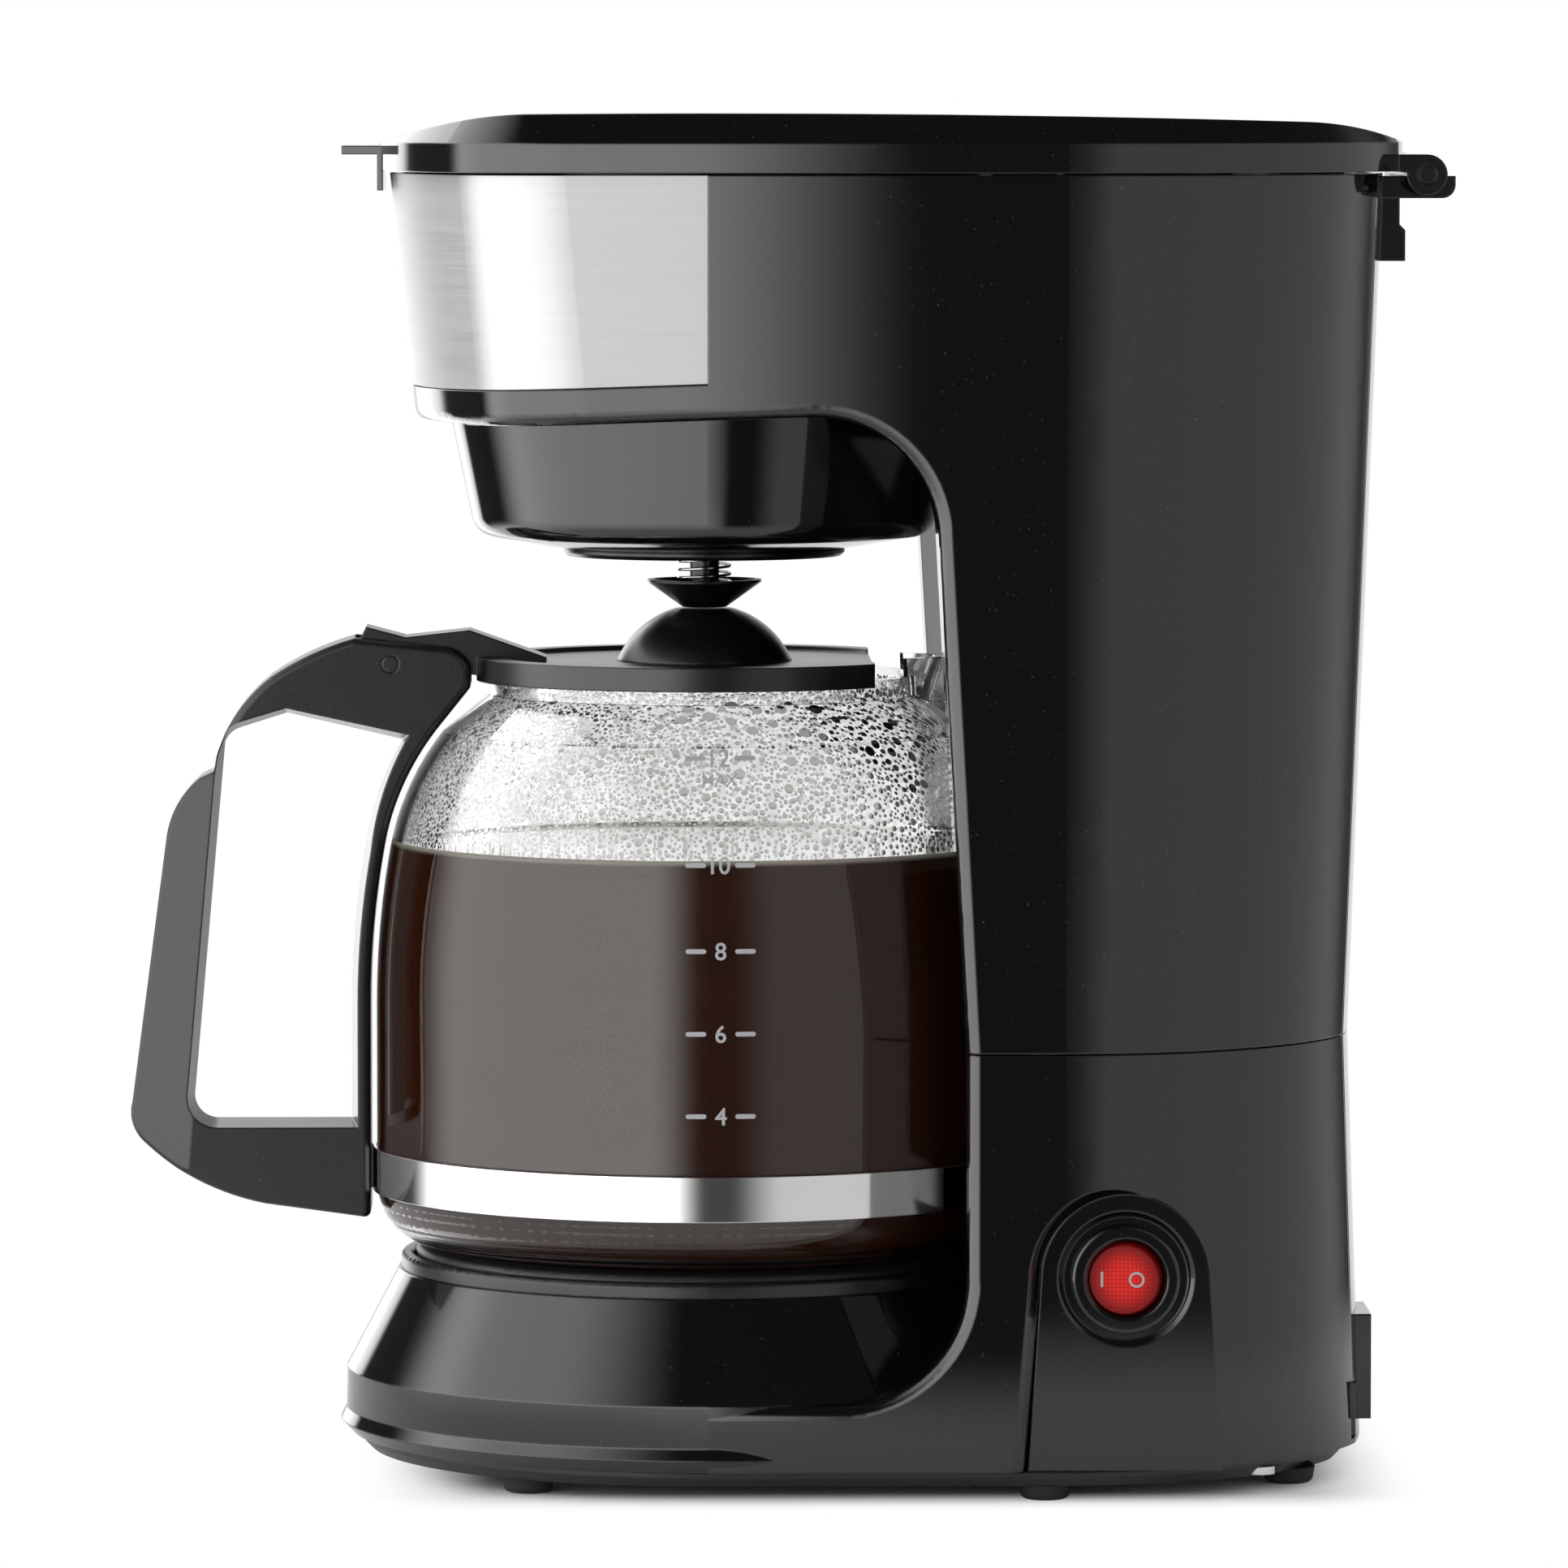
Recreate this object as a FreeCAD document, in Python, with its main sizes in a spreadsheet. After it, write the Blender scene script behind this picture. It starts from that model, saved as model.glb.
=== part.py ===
"""Drip coffee maker with a glass carafe.

Millimetres, +Z up, front towards -Y, switch side towards +X.  Every sub-part is drawn
about the carafe's upright axis, which stands axis_y behind the middle of the whole depth.
"""
import FreeCAD, Part
import Sketcher

import math
import os
import re

Vector = FreeCAD.Vector

DOC = FreeCAD.newDocument("drip_coffee_maker")
SHEET = DOC.addObject("Spreadsheet::Sheet", "Sizes")

SIZES = {
    # frame: the carafe axis, and a length that passes through everything
    "axis_y": -19.0,
    "through": 400.0,
    # shared fits
    "wall": 2.6,
    "seam_gap": 0.3,
    "seat_gap": 0.3,
    "pin_play": 0.05,
    # heights of the stand
    "foot_tall": 3.6,
    "cover_thick": 3.4,
    "cover_gap": 0.2,
    "cover_round": 2.0,
    "seam_z": 100.0,
    "head_z": "head_floor_z + 49",
    # plan of the housing: half widths and rear faces at the floor, the seam and the top
    "base_half": "bay_r + 3.2",
    "seam_half": "bay_r + 1.5",
    "head_half": "bay_r + 9",
    "base_rear": "hose_y + 64",
    "seam_rear": "base_rear - 3.3",
    "head_rear": "base_rear + 4",
    "side_end": "bay_r",
    "crease_x": 33.0,
    "crease_drop": 3.0,
    "crease_groove": 0.4,
    # column: its upright front edge, the hollow for the carafe, the rounded edge
    "edge_low_y": "bay_r - 21.8",
    "edge_high_y": "bay_r - 29.8",
    "bay_r": "glass_r + 4",
    "edge_round": 3.0,
    "lower_arch_r": 28.0,
    "upper_arch_r": 27.0,
    # skirt of the base
    "bead_r": "base_half + 1.1",
    "bead_z": 10.0,
    "skirt_r": "base_half - 0.2",
    "skirt_draft": 0.2,
    "skirt_band_z": 22.0,
    "deck_r": "glass_r - 5",
    "deck_z": 44.4,
    "deck_hole_r": "deck_r - 7",
    # head: front at the top, draft, sloping underside
    "head_front": "-(bowl_r + 12.4)",
    "head_draft": 0.105,
    "head_bottom_z": "head_floor_z - 3.2",
    "head_slope": 0.033,
    "head_floor_z": "bowl_low_z + 29",
    "front_corner": 26.0,
    "front_bow": 170.0,
    # steel wrap
    "panel_thick": 0.8,
    "panel_end_y": 0.0,
    "panel_low_z": "head_bottom_z + 6.6",
    "panel_gap": 0.3,
    # hot plate
    "plate_r": "deck_r - 4",
    "plate_z": "deck_z + 5.1",
    "plate_thick": 1.0,
    "ring_r": "deck_r - 0.6",
    "ring_z": "deck_z + 3.6",
    # heater
    "heater_r": "plate_r - 26",
    "heater_wide": 13.0,
    "heater_tall": 9.0,
    "heater_turn": 290.0,
    "hose_r": 4.2,
    "hose_bore": 2.6,
    "hose_x": 27.0,
    "hose_y": "bay_r + 7",
    "hose_low_z": 24.0,
    "hose_bend": 14.0,
    "riser_top_z": "spray_low_z + 8",
    "valve_body_r": 7.0,
    "valve_body_tall": 7.0,
    "thermostat_r": 8.0,
    "thermostat_tall": 6.0,
    # brew bowl
    "bowl_r": 59.0,
    "bowl_low_r": "bowl_r - 6",
    "bowl_low_z": "bowl_edge_z + 4.6",
    "bowl_round": 5.0,
    "bowl_edge_z": "plate_disc_z + plate_disc_thick + 2.7",
    "bowl_wall": 2.2,
    "bowl_flange": 4.0,
    "bowl_flange_tall": 2.5,
    "plate_disc_r": 32.0,
    "plate_disc_z": "cup_rim_z + 5.5",
    "plate_disc_thick": 1.7,
    # basket
    "basket_r": "bowl_r - 5",
    "basket_low_r": "basket_r - 9",
    "basket_low_z": "bowl_low_z + 2",
    "basket_top_z": "head_floor_z + 17",
    "basket_wall": 1.8,
    "basket_drain_r": 12.0,
    # drip stop
    "stem_r": 3.35,
    "stem_cap_r": 5.0,
    "stem_cap": 1.0,
    "cup_r": 13.0,
    "cup_rim_z": "cup_low_z + 6.3",
    "cup_low_r": 5.0,
    "cup_low_z": "dome_top_z + seat_gap",
    "cup_wall": 1.2,
    "seal_r": 7.5,
    "seal_tall": 1.6,
    "drip_travel": 2.4,
    "drip_hole_r": 5.5,
    "spring_r": 5.9,
    "wire_r": 0.33,
    "spring_turns": 6.0,
    # spray arm
    "spray_r": 22.0,
    "spray_low_z": "basket_top_z + 6",
    "spray_tall": 8.0,
    "arm_half": 5.0,
    "spray_ring_r": 15.4,
    "spray_hole_r": 1.3,
    "spray_holes": 8,
    # lid
    "lid_gap": 0.5,
    "lid_rim_tall": 6.5,
    "lid_over": 1.4,
    "lid_front": "head_front - 2.6",
    "lid_rear": "head_rear + 4.5",
    "lid_crown_inset": 7.0,
    "lid_crown_z": "head_z + 13.8",
    "lid_nose_z": "head_z + 4.2",
    "lid_brow_y": "lid_front + 33.6",
    "lid_brow_z": "head_z + 13.35",
    "lid_back_y": "head_rear - 22",
    "lid_back_z": "head_z + 11.7",
    "lid_tail_z": "head_z + 4.4",
    "lid_nose_arc": 100.0,
    "lid_top_arc": 4500.0,
    "lid_tail_arc": 80.0,
    "tab_front": "lid_front - 8",
    "tab_half": 17.0,
    "tab_low_z": "head_z + 4.2",
    "tab_thick": 2.0,
    "tab_lip_z": "head_z - 3.9",
    "tab_lip_thick": 1.4,
    # lid hinge
    "hinge_y": "head_rear + 8",
    "hinge_z": "head_z - 0.3",
    "hinge_pin_r": 2.0,
    "knuckle_r": 4.6,
    "knuckle_in": 26.0,
    "knuckle_out": 33.0,
    "bracket_half": 25.6,
    "bracket_rear": "hinge_y + 7",
    "bracket_low_z": "head_z - 5.6",
    "stop_low_z": "head_z - 20",
    "stop_step_z": "head_z - 13",
    "stop_rear": "head_rear + 5",
    "stop_half": 9.0,
    # switch on the right side
    "switch_y": "bay_r + 13.5",
    "switch_z": 50.0,
    "pad_x": "seam_half - 1.9",
    "pad_half": 18.8,
    "pad_foot_half": 21.6,
    "bezel_r": 12.1,
    "bezel_proud": 1.6,
    "switch_body_r": 10.2,
    "switch_body_deep": 22.0,
    "recess_r": 15.2,
    "recess_deep": 0.8,
    "rocker_r": 8.3,
    "rocker_face": 3.4,
    "rocker_play": 0.15,
    "rocker_tilt": 8.0,
    # cord entry at the back
    "gland_x": -22.0,
    "gland_z": 24.0,
    "gland_bore": 3.6,
    "gland_r": 6.0,
    "gland_flange_r": 8.5,
    "gland_flange": 1.6,
    "gland_long": 12.0,
    # spacer on the back of the base
    "spacer_half": 12.0,
    "spacer_low_z": 10.0,
    "spacer_high_z": 34.0,
    "spacer_rear": "base_rear + 2",
    # catch that holds the floor plate, in a notch at each rear corner
    "notch_half": 2.6,
    "notch_low_z": 8.4,
    "notch_high_z": 20.0,
    "catch_half": 1.9,
    "catch_low_z": 13.0,
    # feet and screws
    "foot_r": 5.6,
    "foot_round": 1.6,
    "front_foot_x": "base_half - 25.2",
    "front_foot_y": -40.0,
    "mid_foot_x": "base_half - 12.2",
    "mid_foot_y": "bay_r - 4",
    "rear_foot_x": 44.0,
    "rear_foot_y": "base_rear - 19",
    "screw_r": 1.7,
    "screw_head_r": 3.6,
    "screw_head": 1.8,
    "screw_long": 13.0,
    "post_r": 4.4,
    "front_post_x": 33.0,
    "front_post_y": "-(deck_r - 15)",
    "rear_post_x": "base_half - 23.7",
    "rear_post_y": "base_rear - 26.5",
    "rear_post_top_z": 40.0,
    # carafe glass, measured outside
    "glass_r": 75.0,
    "glass_wall": 2.3,
    "glass_foot_r": 14.0,
    "glass_side_z": "plate_z + 55.5",
    "glass_mid_r": "glass_r - 3.1",
    "glass_mid_z": "glass_side_z + 35",
    "glass_mid_arc": 199.0,
    "shoulder_r": "glass_r - 15.2",
    "shoulder_z": "glass_mid_z + 27",
    "shoulder_arc": 61.0,
    "neck_r": "glass_r - 26",
    "neck_z": "shoulder_z + 8.4",
    "rim_z": "neck_z + 4.6",
    "spout_y": "neck_r + 6",
    "spout_z": "rim_z + 4",
    "spout_half": 13.0,
    "spout_root_z": "rim_z - 8.5",
    "spout_lift": 2.0,
    # steel band
    "band_low_z": "plate_z + 12.8",
    "band_tall": 10.1,
    "band_thick": 0.8,
    "band_play": 0.1,
    # handle
    "handle_half": 9.5,
    "handle_gap": 0.3,
    "strap": 4.4,
    "foot_end_z": "plate_z + 6.6",
    "toe_y": "-(glass_r + 25.2)",
    "toe_z": "plate_z + 9.9",
    "heel_y": "-(glass_r + 52.8)",
    "heel_z": "plate_z + 23.8",
    "grip_low_y": "-(glass_r + 55.6)",
    "grip_low_z": "plate_z + 33.1",
    "grip_top_y": "-(glass_r + 47.6)",
    "grip_top_z": "rim_z - 37.2",
    "step_y": "-(glass_r + 40)",
    "step_z": "rim_z - 23.3",
    "step_in": 3.4,
    "arm_end_y": "-(glass_r + 36.1)",
    "arm_end_z": "rim_z - 18.7",
    "arm_bend_y": "-(glass_r + 23.7)",
    "arm_bend_z": "rim_z - 0.2",
    "arm_top_y": "lid_pin_y - 8.1",
    "arm_top_z": "lid_pin_z + 6",
    "beak_y": "-(neck_r + 4.2)",
    "beak_z": "rim_z + 1.9",
    "beak_low_z": "shoulder_z + 0.6",
    "window_low_z": "plate_z + 28.9",
    "window_low_y": "-(glass_r + 41.5)",
    "window_high_y": "-(glass_r + 34.3)",
    "window_high_z": "rim_z - 15.5",
    "window_top_y": "-(glass_r + 20.2)",
    "window_top_z": "rim_z - 8.9",
    "window_nose_z": "shoulder_z - 2",
    "window_round": 5.4,
    "window_draft": 1.5,
    "handle_corner": 1.5,
    "handle_round": 1.6,
    "grip_face_low_y": "-(glass_r + 43.7)",
    "grip_face_low_z": "plate_z + 4.5",
    "grip_face_high_y": "-(glass_r + 36)",
    "grip_face_high_z": "step_z + 1.3",
    "grip_slope": 0.27,
    "grip_edge": 1.0,
    "grip_arc": 22.0,
    "heel_arc": 9.0,
    "band_screw_y": "-(glass_r + 7)",
    "band_tab_end_y": "-(glass_r + 11)",
    "band_tab_half": 1.0,
    "band_screw_r": 1.5,
    "band_screw_head_r": 3.0,
    "band_screw_head": 1.6,
    "band_screw_long": 13.3,
    "lever_play": 0.3,
    "lid_pin_y": "-(neck_r + 22.5)",
    "lid_pin_z": "rim_z + 2.6",
    "lid_pin_r": 1.9,
    # carafe lid
    "lever_half": 6.6,
    "lever_hub_r": 4.6,
    "lever_tip_y": "lid_pin_y - 6.8",
    "lever_tip_z": "lid_pin_z + 8.4",
    "lever_dip_y": "lid_pin_y + 3.5",
    "lever_dip_z": "lid_pin_z + 6",
    "lever_crest_y": "lid_pin_y + 18",
    "lever_crest_z": "lid_pin_z + 7.6",
    "lever_end_y": "-(neck_r - 13)",
    "lid_ring_r": "neck_r + 3",
    "lid_ring_low_z": "rim_z - 1.4",
    "lid_ring_z": "rim_z + 4",
    "lid_deck_z": "rim_z + 3",
    "lid_deck_thick": 2.2,
    "pour_cut_y": "neck_r - 11",
    "dome_r": 20.0,
    "dome_top_r": 6.5,
    "dome_top_z": "lid_deck_z + 11.9",
    "dome_arc": 21.0,
    "dome_wall": 1.8,
}


def set_sizes() -> None:
    """Writes every size into the sheet under its own alias; a size given in words follows others."""
    for row, name in enumerate(SIZES, start=1):
        SHEET.set(f"A{row}", name)
        SHEET.setAlias(f"B{row}", name)
    for row, value in enumerate(SIZES.values(), start=1):
        SHEET.set(f"B{row}", f"={value}" if isinstance(value, str) else repr(value))
    DOC.recompute()


def number(text: str) -> float:
    """The value of an expression in the sheet's own names."""
    return float(SHEET.evalExpression(text))


def in_sheet(text: str) -> str:
    """The same expression with every size spelled as a cell of the sheet."""
    return re.sub(r"[a-z][a-z_]*", lambda m: f"Sizes.{m[0]}" if m[0] in SIZES else m[0], text)


def bind(item, prop: str, text: str) -> None:
    """Ties a property to an expression in the sheet's names."""
    item.setExpression(prop, in_sheet(text))


def arc_between(start: Vector, end: Vector, radius: float) -> Part.ArcOfCircle:
    """The short arc from start to end; a positive radius turns left, a negative one right."""
    chord = end - start
    left = Vector(-chord.y, chord.x, 0).normalize()
    rise = math.sqrt(max(radius * radius - chord.Length ** 2 / 4, 0.0))
    middle = (start + end) * 0.5 + left * math.copysign(rise, radius)
    first, last = (start, end) if radius > 0 else (end, start)
    turns = [math.atan2(p.y - middle.y, p.x - middle.x) for p in (first, last)]
    circle = Part.Circle(middle, Vector(0, 0, 1), abs(radius))
    return Part.ArcOfCircle(circle, turns[0], turns[1])


class Piece:
    """One sub-part: a body about the carafe axis, built from outlines and features."""

    made: list = []

    def __init__(self, label: str, axis_y: str = "axis_y"):
        self.body = DOC.addObject("PartDesign::Body", label)
        self.body.Label = label
        bind(self.body, "Placement.Base.y", axis_y)
        Piece.made.append(self.body)

    def sketch(self, plane: str, offset: str):
        """An empty sketch on one of the body's origin planes, moved along its normal."""
        sketch = self.body.newObject("Sketcher::SketchObject", "outline")
        origin = [item for item in self.body.Origin.OriginFeatures if item.Role == f"{plane}_Plane"]
        sketch.AttachmentSupport = [(origin[0], "")]
        sketch.MapMode = "FlatFace"
        bind(sketch, "AttachmentOffset.Base.z", offset)
        return sketch

    def outline(self, plane: str, points: list, offset: str = "0"):
        """A closed outline; a third value on a point is the radius of the arc that leaves it."""
        sketch = self.sketch(plane, offset)
        spots = [Vector(number(point[0]), number(point[1]), 0) for point in points]
        ends = []
        for index, point in enumerate(points):
            start, end = spots[index], spots[(index + 1) % len(points)]
            if len(point) == 2:
                sketch.addGeometry(Part.LineSegment(start, end))
                ends.append((1, 2))
            else:
                radius = number(point[2])
                sketch.addGeometry(arc_between(start, end, radius))
                ends.append((1, 2) if radius > 0 else (2, 1))
        for index, point in enumerate(points):
            after = (index + 1) % len(points)
            sketch.addConstraint(
                Sketcher.Constraint("Coincident", index, ends[index][1], after, ends[after][0])
            )
            self.size(sketch, "DistanceX", (index, ends[index][0]), point[0])
            self.size(sketch, "DistanceY", (index, ends[index][0]), point[1])
            if len(point) == 3:
                self.size(sketch, "Radius", (index,), f"abs({point[2]})")
        return sketch

    def circle(self, plane: str, x: str, y: str, radius: str, offset: str = "0"):
        """A round outline."""
        sketch = self.sketch(plane, offset)
        centre = Vector(number(x), number(y), 0)
        sketch.addGeometry(Part.Circle(centre, Vector(0, 0, 1), number(radius)))
        self.size(sketch, "DistanceX", (0, 3), x)
        self.size(sketch, "DistanceY", (0, 3), y)
        self.size(sketch, "Radius", (0,), radius)
        return sketch

    def size(self, sketch, kind: str, place: tuple, text: str) -> None:
        """One measured constraint, tied to the sheet."""
        index = sketch.addConstraint(Sketcher.Constraint(kind, *place, number(text)))
        bind(sketch, f"Constraints[{index}]", text)

    def volume(self) -> float:
        """The body's volume as it now stands."""
        DOC.recompute()
        tip = self.body.Tip
        return tip.Shape.Volume if tip and not tip.Shape.isNull() else 0.0

    def feature(self, kind: str, profile, adds: bool, **settings):
        """Adds a feature and checks that it did add or remove material."""
        before = self.volume()
        feature = self.body.newObject(f"PartDesign::{kind}", kind.lower())
        feature.Profile = profile
        for name, value in settings.items():
            if name in ("Length", "Angle", "TaperAngle"):
                bind(feature, name, value)
            else:
                setattr(feature, name, value)
        gain = self.volume() - before
        if (gain > 0) != adds or abs(gain) < 1e-6:
            raise ValueError(f"{self.body.Label}: {feature.Name} changed the volume by {gain:.4f}")
        return feature

    def pad(self, profile, length: str, symmetric: bool = False, **settings):
        """Raises an outline along its normal."""
        side = "Symmetric" if symmetric else "One side"
        return self.feature("Pad", profile, True, Length=length, SideType=side, **settings)

    def pocket(self, profile, length: str = "through", symmetric: bool = False, **settings):
        """Cuts an outline against its normal, or both ways."""
        side = "Symmetric" if symmetric else "One side"
        return self.feature("Pocket", profile, False, Length=length, SideType=side, **settings)

    def revolve(self, points: list, angle: str = "360"):
        """Turns a radius and height outline about the carafe axis."""
        profile = self.outline("XZ", points)
        axis = (profile, ["V_Axis"])
        return self.feature("Revolution", profile, True, ReferenceAxis=axis, Angle=angle)

    def groove(self, points: list):
        """Turns a radius and height outline about the carafe axis and removes it."""
        profile = self.outline("XZ", points)
        return self.feature("Groove", profile, False, ReferenceAxis=(profile, ["V_Axis"]), Angle="360")

    def loft(self, low: list, low_z: str, high: list, high_z: str, cut: bool = False, plane: str = "XY"):
        """Joins two outlines of like form by straight lines, or removes what lies between them."""
        first = self.outline(plane, low, low_z)
        second = self.outline(plane, high, high_z)
        kind = "SubtractiveLoft" if cut else "AdditiveLoft"
        return self.feature(kind, first, not cut, Sections=[second], Ruled=True)

    def fillet(self, radius: str, wanted) -> None:
        """Rounds the edges whose middle point, in the body's own frame, is wanted."""
        DOC.recompute()
        tip = self.body.Tip
        names = []
        for index, edge in enumerate(tip.Shape.Edges, start=1):
            if wanted(edge.valueAt((edge.FirstParameter + edge.LastParameter) / 2), edge):
                names.append(f"Edge{index}")
        feature = self.body.newObject("PartDesign::Fillet", "fillet")
        feature.Base = (tip, names)
        bind(feature, "Radius", radius)
        DOC.recompute()


set_sizes()

# Heights and sizes that several sub-parts share
BASE_Z = "(foot_tall + cover_thick + cover_gap)"
BASE_TOP = "(seam_z - seam_gap / 2)"
UPPER_Z = "(seam_z + seam_gap / 2)"


def between(z: str, low: str, high: str, low_z: str, high_z: str) -> str:
    """A size that changes evenly from one height to another."""
    return f"({low} + ({high} - {low}) * (({z}) - {low_z}) / ({high_z} - {low_z}))"


def base_at(z: str, inset: str) -> tuple:
    """Half width and rear face of the base at a height, moved in by an inset."""
    half = between(z, "base_half", "seam_half", "0", "seam_z")
    rear = between(z, "base_rear", "seam_rear", "0", "seam_z")
    return f"({half} - {inset})", f"({rear} - {inset})"


def upper_at(z: str, inset: str) -> tuple:
    """Half width, rear face and front face of the upper housing at a height."""
    half = between(z, "seam_half", "head_half", "seam_z", "head_z")
    rear = between(z, "seam_rear", "head_rear", "seam_z", "head_z")
    front = f"(head_front + (head_z - ({z})) * head_draft)"
    return f"({half} - {inset})", f"({rear} - {inset})", f"({front} + {inset})"


def rear_run(half: str, rear: str, start: str) -> list:
    """The housing's plan from the right side round the back to the left side."""
    across = f"({half} - crease_x)"
    along = f"({rear} - crease_drop - {start})"
    side = f"(({across}^2 + {along}^2) / (2 * {across}))"
    back = "((crease_x^2 + crease_drop^2) / (2 * crease_drop))"
    return [
        (half, start, side),
        ("crease_x", f"{rear} - crease_drop", back),
        ("-crease_x", f"{rear} - crease_drop", side),
        (f"-{half}", start),
    ]


def front_run(half: str, front: str, inset: str) -> list:
    """The head's plan from the left side round the bowed front to the right side."""
    corner = f"(front_corner - {inset})"
    bow = f"(front_bow - {inset})"
    reach = f"sqrt(({bow} - {corner})^2 - ({half} - {corner})^2)"
    side_y = f"({front} + {bow} - {reach})"
    turn_x = f"(({half} - {corner}) * {bow} / ({bow} - {corner}))"
    turn_y = f"({front} + {bow} - {reach} * {bow} / ({bow} - {corner}))"
    return [
        (f"-{half}", side_y, corner),
        (f"-{turn_x}", turn_y, bow),
        (turn_x, turn_y, corner),
        (half, side_y),
    ]


def column_front(half: str) -> list:
    """The front of the hollow column: two flat strips and the curve round the carafe."""
    strip_y = "(edge_low_y + wall + edge_round)"
    round_r = "(bay_r + wall)"
    round_x = f"sqrt({round_r}^2 - {strip_y}^2)"
    return [
        (f"-{half}", strip_y),
        (f"-{round_x}", strip_y, f"-{round_r}"),
        (round_x, strip_y),
        (half, strip_y),
    ]


def base_plan(inset: str, z: str) -> list:
    """Plan of the floor: a half circle in front, the column's plan behind."""
    half, rear = base_at(z, inset)
    front = [(f"-{half}", "0", half), ("0", f"-{half}", half), (half, "0")]
    return rear_run(half, rear, "side_end") + front


def base_housing() -> None:
    """Skirted foot and lower column in one moulding, open below and above."""
    piece = Piece("base_housing")
    low, high = base_at(BASE_Z, "0"), base_at(BASE_TOP, "0")
    square = [[(f"-{half}", "0"), (half, "0")] for half, _ in (low, high)]
    piece.loft(
        rear_run(*low, "side_end") + square[0], BASE_Z, rear_run(*high, "side_end") + square[1], BASE_TOP
    )
    arch_y = "(edge_low_y - lower_arch_r)"
    arch = [
        ("-edge_low_y", "skirt_band_z"),
        (arch_y, "skirt_band_z", "lower_arch_r"),
        ("edge_low_y", "skirt_band_z + lower_arch_r"),
        ("edge_low_y", "seam_z + lower_arch_r"),
        ("-edge_low_y", "seam_z + lower_arch_r"),
    ]
    piece.pocket(piece.outline("YZ", arch), symmetric=True)
    edge_x = number(f"{high[0]} - edge_round")
    front_y = number("edge_low_y")
    piece.fillet(
        "edge_round",
        lambda p, edge: abs(p.x) > edge_x and 0 < p.y < front_y + 0.1 and edge.Length > 5
        and number("skirt_band_z") - 0.1 < p.z < number(BASE_TOP) - 0.1,
    )
    piece.groove([("0", "deck_z"), ("bay_r", "deck_z"), ("bay_r", "seam_z + wall"), ("0", "seam_z + wall")])
    skirt = [
        ("0", BASE_Z),
        ("skirt_r - wall / 2", BASE_Z),
        ("bead_r", "bead_z"),
        ("skirt_r", "bead_z + wall"),
        ("skirt_r - skirt_draft", "skirt_band_z"),
        ("deck_r", "deck_z"),
        ("0", "deck_z"),
    ]
    piece.revolve(skirt)
    inside = [
        ("0", BASE_Z),
        ("skirt_r - wall", BASE_Z),
        ("skirt_r - wall", "skirt_band_z - wall / 2"),
        ("deck_r - wall", "deck_z - wall"),
        ("0", "deck_z - wall"),
    ]
    piece.groove(inside)
    piece.pocket(piece.circle("XY", "0", "0", "deck_hole_r", "deck_z + cover_gap"), "wall * 2")
    low, high = base_at(BASE_Z, "wall"), base_at(BASE_TOP, "wall")
    piece.loft(
        rear_run(*low, "side_end") + column_front(low[0]), BASE_Z,
        rear_run(*high, "side_end") + column_front(high[0]), BASE_TOP, cut=True,
    )
    passage = [
        ("-hose_x - hose_r * 2", BASE_Z), ("hose_x + hose_r * 2", BASE_Z),
        ("hose_x + hose_r * 2", "deck_z - wall * 2"), ("-hose_x - hose_r * 2", "deck_z - wall * 2"),
    ]
    piece.pocket(piece.outline("XZ", passage, "-bay_r - wall * 2"), "wall * 8", Reversed=True)
    switch_seat(piece)
    for x, y, top in posts():
        piece.pad(piece.circle("XY", x, y, "post_r", BASE_Z), f"{top} - {BASE_Z}")
        piece.pocket(piece.circle("XY", x, y, "screw_r", BASE_Z), "screw_long", Reversed=True)
    back_details(piece)


def posts() -> list:
    """Screw posts: plan position and the height that each reaches."""
    front = [(f"{side}front_post_x", "front_post_y", "(deck_z - wall / 2)") for side in ("", "-")]
    rear = [(f"{side}rear_post_x", "rear_post_y", "rear_post_top_z") for side in ("", "-")]
    return front + rear


def switch_seat(piece: Piece) -> None:
    """Flat arched pad on the right side with a bevelled seat and a hole for the switch."""
    arch = [
        ("switch_y - pad_foot_half", BASE_Z),
        ("switch_y + pad_foot_half", BASE_Z),
        ("switch_y + pad_half", "switch_z", "pad_half"),
        ("switch_y", "switch_z + pad_half", "pad_half"),
        ("switch_y - pad_half", "switch_z"),
    ]
    piece.pad(piece.outline("YZ", arch, "pad_x"), "wall * 2", Reversed=True)
    clear = "base_half - pad_x + wall"
    piece.pocket(piece.outline("YZ", arch, "pad_x"), clear, Reversed=True, TaperAngle="45")
    seat = piece.circle("YZ", "switch_y", "switch_z", "recess_r", "pad_x")
    piece.pocket(seat, "recess_deep", TaperAngle="-60")
    hole = piece.circle("YZ", "switch_y", "switch_z", "switch_body_r + seat_gap", "pad_x")
    piece.pocket(hole, "switch_body_deep")


def crease_lines(piece: Piece, low: tuple, low_z: str, high: tuple, high_z: str) -> None:
    """Fine groove down each rear corner, between the side and the back."""
    for side in ("", "-"):
        plans = []
        for _, rear in (low, high):
            y = f"({rear} - crease_drop)"
            plans.append([
                (f"{side}crease_x - crease_groove", f"{y} - crease_groove"),
                (f"{side}crease_x + crease_groove", f"{y} - crease_groove"),
                (f"{side}crease_x + crease_groove", f"{y} + crease_groove"),
                (f"{side}crease_x - crease_groove", f"{y} + crease_groove"),
            ])
        piece.loft(plans[0], low_z, plans[1], high_z, cut=True)


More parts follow.
